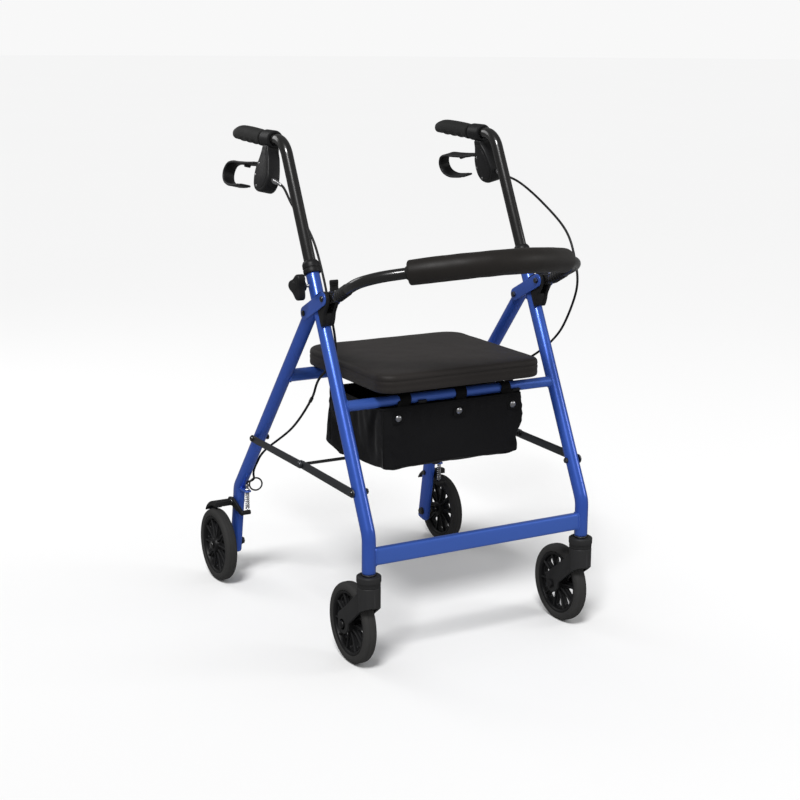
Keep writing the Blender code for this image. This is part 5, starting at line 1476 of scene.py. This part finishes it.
def cable_knots(side):
    """The run of a cable in two stretches: down to the side of the seat, then on below it."""
    foot, out = cable_start(side)
    start = foot + out * 0.0125
    tab = in_yz(side * LEG_X, SPRING_TAB)
    inside = -0.0195
    if side > 0:
        upper = [
            (0.2620, 0.020, 0.836), (0.2740, -0.050, 0.799),
            (0.2820, -0.113, 0.755), (0.2800, -0.148, 0.706),
            (0.2800, -0.158, 0.650), (0.2800, -0.122, 0.577),
            (0.2800, -0.080, 0.533), (0.2700, -0.034, 0.497),
            (0.2500, -0.008, 0.477), (0.2260, 0.008, 0.458),
        ]
        middle = [(0.2110, 0.030, 0.432), (0.2100, 0.100, 0.368)]
    else:
        upper = [
            start + out * 0.014 + Vector((0.002, 0.001, -0.004)), on_leg(side, 0.632, 0.0165, 0.004),
            on_leg(side, 0.606, 0.0165, -0.007), on_leg(side, 0.578, 0.0090, -0.0150),
            on_leg(side, 0.530, 0.0020, inside), on_leg(side, 0.440, 0.0, inside),
            on_leg(side, 0.340, 0.014, inside + 0.001), (-0.2140, -0.035, 0.495),
            (-0.2150, -0.005, 0.451),
        ]
        middle = [(-0.2145, 0.081, 0.377)]
    lower = [
        upper[-1], *middle, (side * 0.2145, 0.2110, 0.3010), (side * 0.2140, 0.2560, 0.2620),
        (side * 0.2145, 0.2710, 0.2400), (side * 0.2160, 0.2670, 0.2270),
        (side * 0.2240, 0.2650, 0.2235), tab + Vector((0, -0.001, 0.0185)),
        tab + Vector((0, 0, 0.0100)),
    ]
    return [Vector(p) for p in (start, *upper)], [Vector(p) for p in lower]


def make_cable(name, side):
    upper, lower = cable_knots(side)
    whole = curve_points([*upper[:-1], *lower], 10)
    split = (len(upper) - 1) * 10
    bm = bmesh.new()
    tube(bm, whole[: split + 1], 0.0023, 12, (1, 0, 0))
    top = add(f"cable_upper_{name}", bm, SHEATH, None, f"brake_cable_{name}", sharp=180)
    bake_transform(top)
    bm = bmesh.new()
    tube(bm, whole[split:], 0.0023, 12, (1, 0, 0))
    bottom = add(f"cable_lower_{name}", bm, SHEATH, None, sharp=180)
    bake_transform(bottom)
    at, along = whole[split], (whole[split + 1] - whole[split - 1]).normalized()
    clip = [(0.0023, -0.006), (0.0033, -0.006), (0.0033, 0.006), (0.0023, 0.006)]
    turned(f"cable_clip_{name}", clip, at, along, PLASTIC, "frame", steps=20, ring=True)
    ferrule = [(0.0021, -0.004), (0.0030, -0.004), (0.0030, 0.006), (0.0025, 0.007), (0.0021, 0.007)]
    turned(f"cable_ferrule_{name}", ferrule, whole[1], (whole[2] - whole[0]).normalized(), BRIGHT,
           f"handle_{name}", steps=20, ring=True, round_by=0.0003)


# ---- stage -----------------------------------------------------------------------------------------
def make_stage():
    scene = bpy.context.scene
    tone, sky, reflected = 0.94, 0.42, 0.16
    world = bpy.data.worlds.new("studio")
    scene.world = world
    world.use_nodes = True
    tree = world.node_tree
    background = tree.nodes["Background"]
    background.inputs["Color"].default_value = (1, 1, 1, 1)
    path = tree.nodes.new("ShaderNodeLightPath")
    strength = sky
    for kind, value in (("Is Glossy Ray", reflected), ("Is Camera Ray", tone)):
        choice = tree.nodes.new("ShaderNodeMix")
        tree.links.new(path.outputs[kind], choice.inputs["Factor"])
        if isinstance(strength, float):
            choice.inputs["A"].default_value = strength
        else:
            tree.links.new(strength, choice.inputs["A"])
        choice.inputs["B"].default_value = value
        strength = choice.outputs["Result"]
    tree.links.new(strength, background.inputs["Strength"])
    floor_mesh = bpy.data.meshes.new("floor")
    bm = bmesh.new()
    bmesh.ops.create_circle(bm, cap_ends=True, segments=64, radius=60)
    bm.to_mesh(floor_mesh)
    bm.free()
    n = Nodes("floor")
    n.set(Base_Color=tinted(n, (0.88, 0.88, 0.88), 0.005, 0.5), Roughness=0.9, Specular_IOR_Level=0.0)
    floor_mesh.materials.append(n.material)
    floor = bpy.data.objects.new("floor", floor_mesh)
    scene.collection.objects.link(floor)
    floor.visible_glossy = False

    def lamp(name, kind, place, look_at, energy, **settings):
        light = bpy.data.lights.new(name, kind)
        light.energy = energy
        for key, value in settings.items():
            setattr(light, key, value)
        obj = bpy.data.objects.new(name, light)
        scene.collection.objects.link(obj)
        obj.location = place
        obj.rotation_euler = (Vector(look_at) - Vector(place)).to_track_quat("-Z", "Y").to_euler()

    lamp("key", "SUN", (-1.9, -2.2, 4.2), (0, 0, 0.4), 2.45, angle=radians(16))
    lamp("fill", "AREA", (2.4, -1.8, 1.6), (0, 0, 0.5), 14, shape="SQUARE", size=1.0)
    lamp("rim", "AREA", (-1.2, 2.2, 1.9), (0, 0, 0.5), 9, shape="SQUARE", size=1.2)

    yaw, pitch, roll = (radians(a) for a in CAMERA_TURN)
    back = Vector((sin(yaw) * cos(pitch), -cos(yaw) * cos(pitch), sin(pitch)))
    right = Vector((cos(yaw), sin(yaw), 0))
    up = back.cross(right)
    rolled = right * cos(roll) + up * sin(roll), up * cos(roll) - right * sin(roll)
    camera_data = bpy.data.cameras.new("camera")
    camera_data.sensor_width, camera_data.lens = CAMERA_SENSOR, CAMERA_LENS
    camera = bpy.data.objects.new("camera", camera_data)
    scene.collection.objects.link(camera)
    turned = Matrix((rolled[0], rolled[1], back)).transposed().to_4x4()
    camera.matrix_world = Matrix.Translation(Vector(CAMERA_AT) + SHIFT) @ turned
    scene.camera = camera
    scene.view_settings.view_transform = "Standard"


def main():
    make_stage()
    make_front_frame()
    make_rear_frame()
    make_brace()
    for name, side in SIDES:
        make_front_fittings(name, side)
        make_rear_fittings(name, side)
        make_brake_shoe(name, side)
        make_caster(name, side)
        make_wheel("rear", name, in_yz(side * REAR_WHEEL_X, REAR_AXLE), side, 0.014, f"rear_wheel_{name}")
        make_handle(name, side)
        make_knob(name, side)
        make_cable(name, side)
    make_seat()
    make_backrest()
    make_bag()


main()
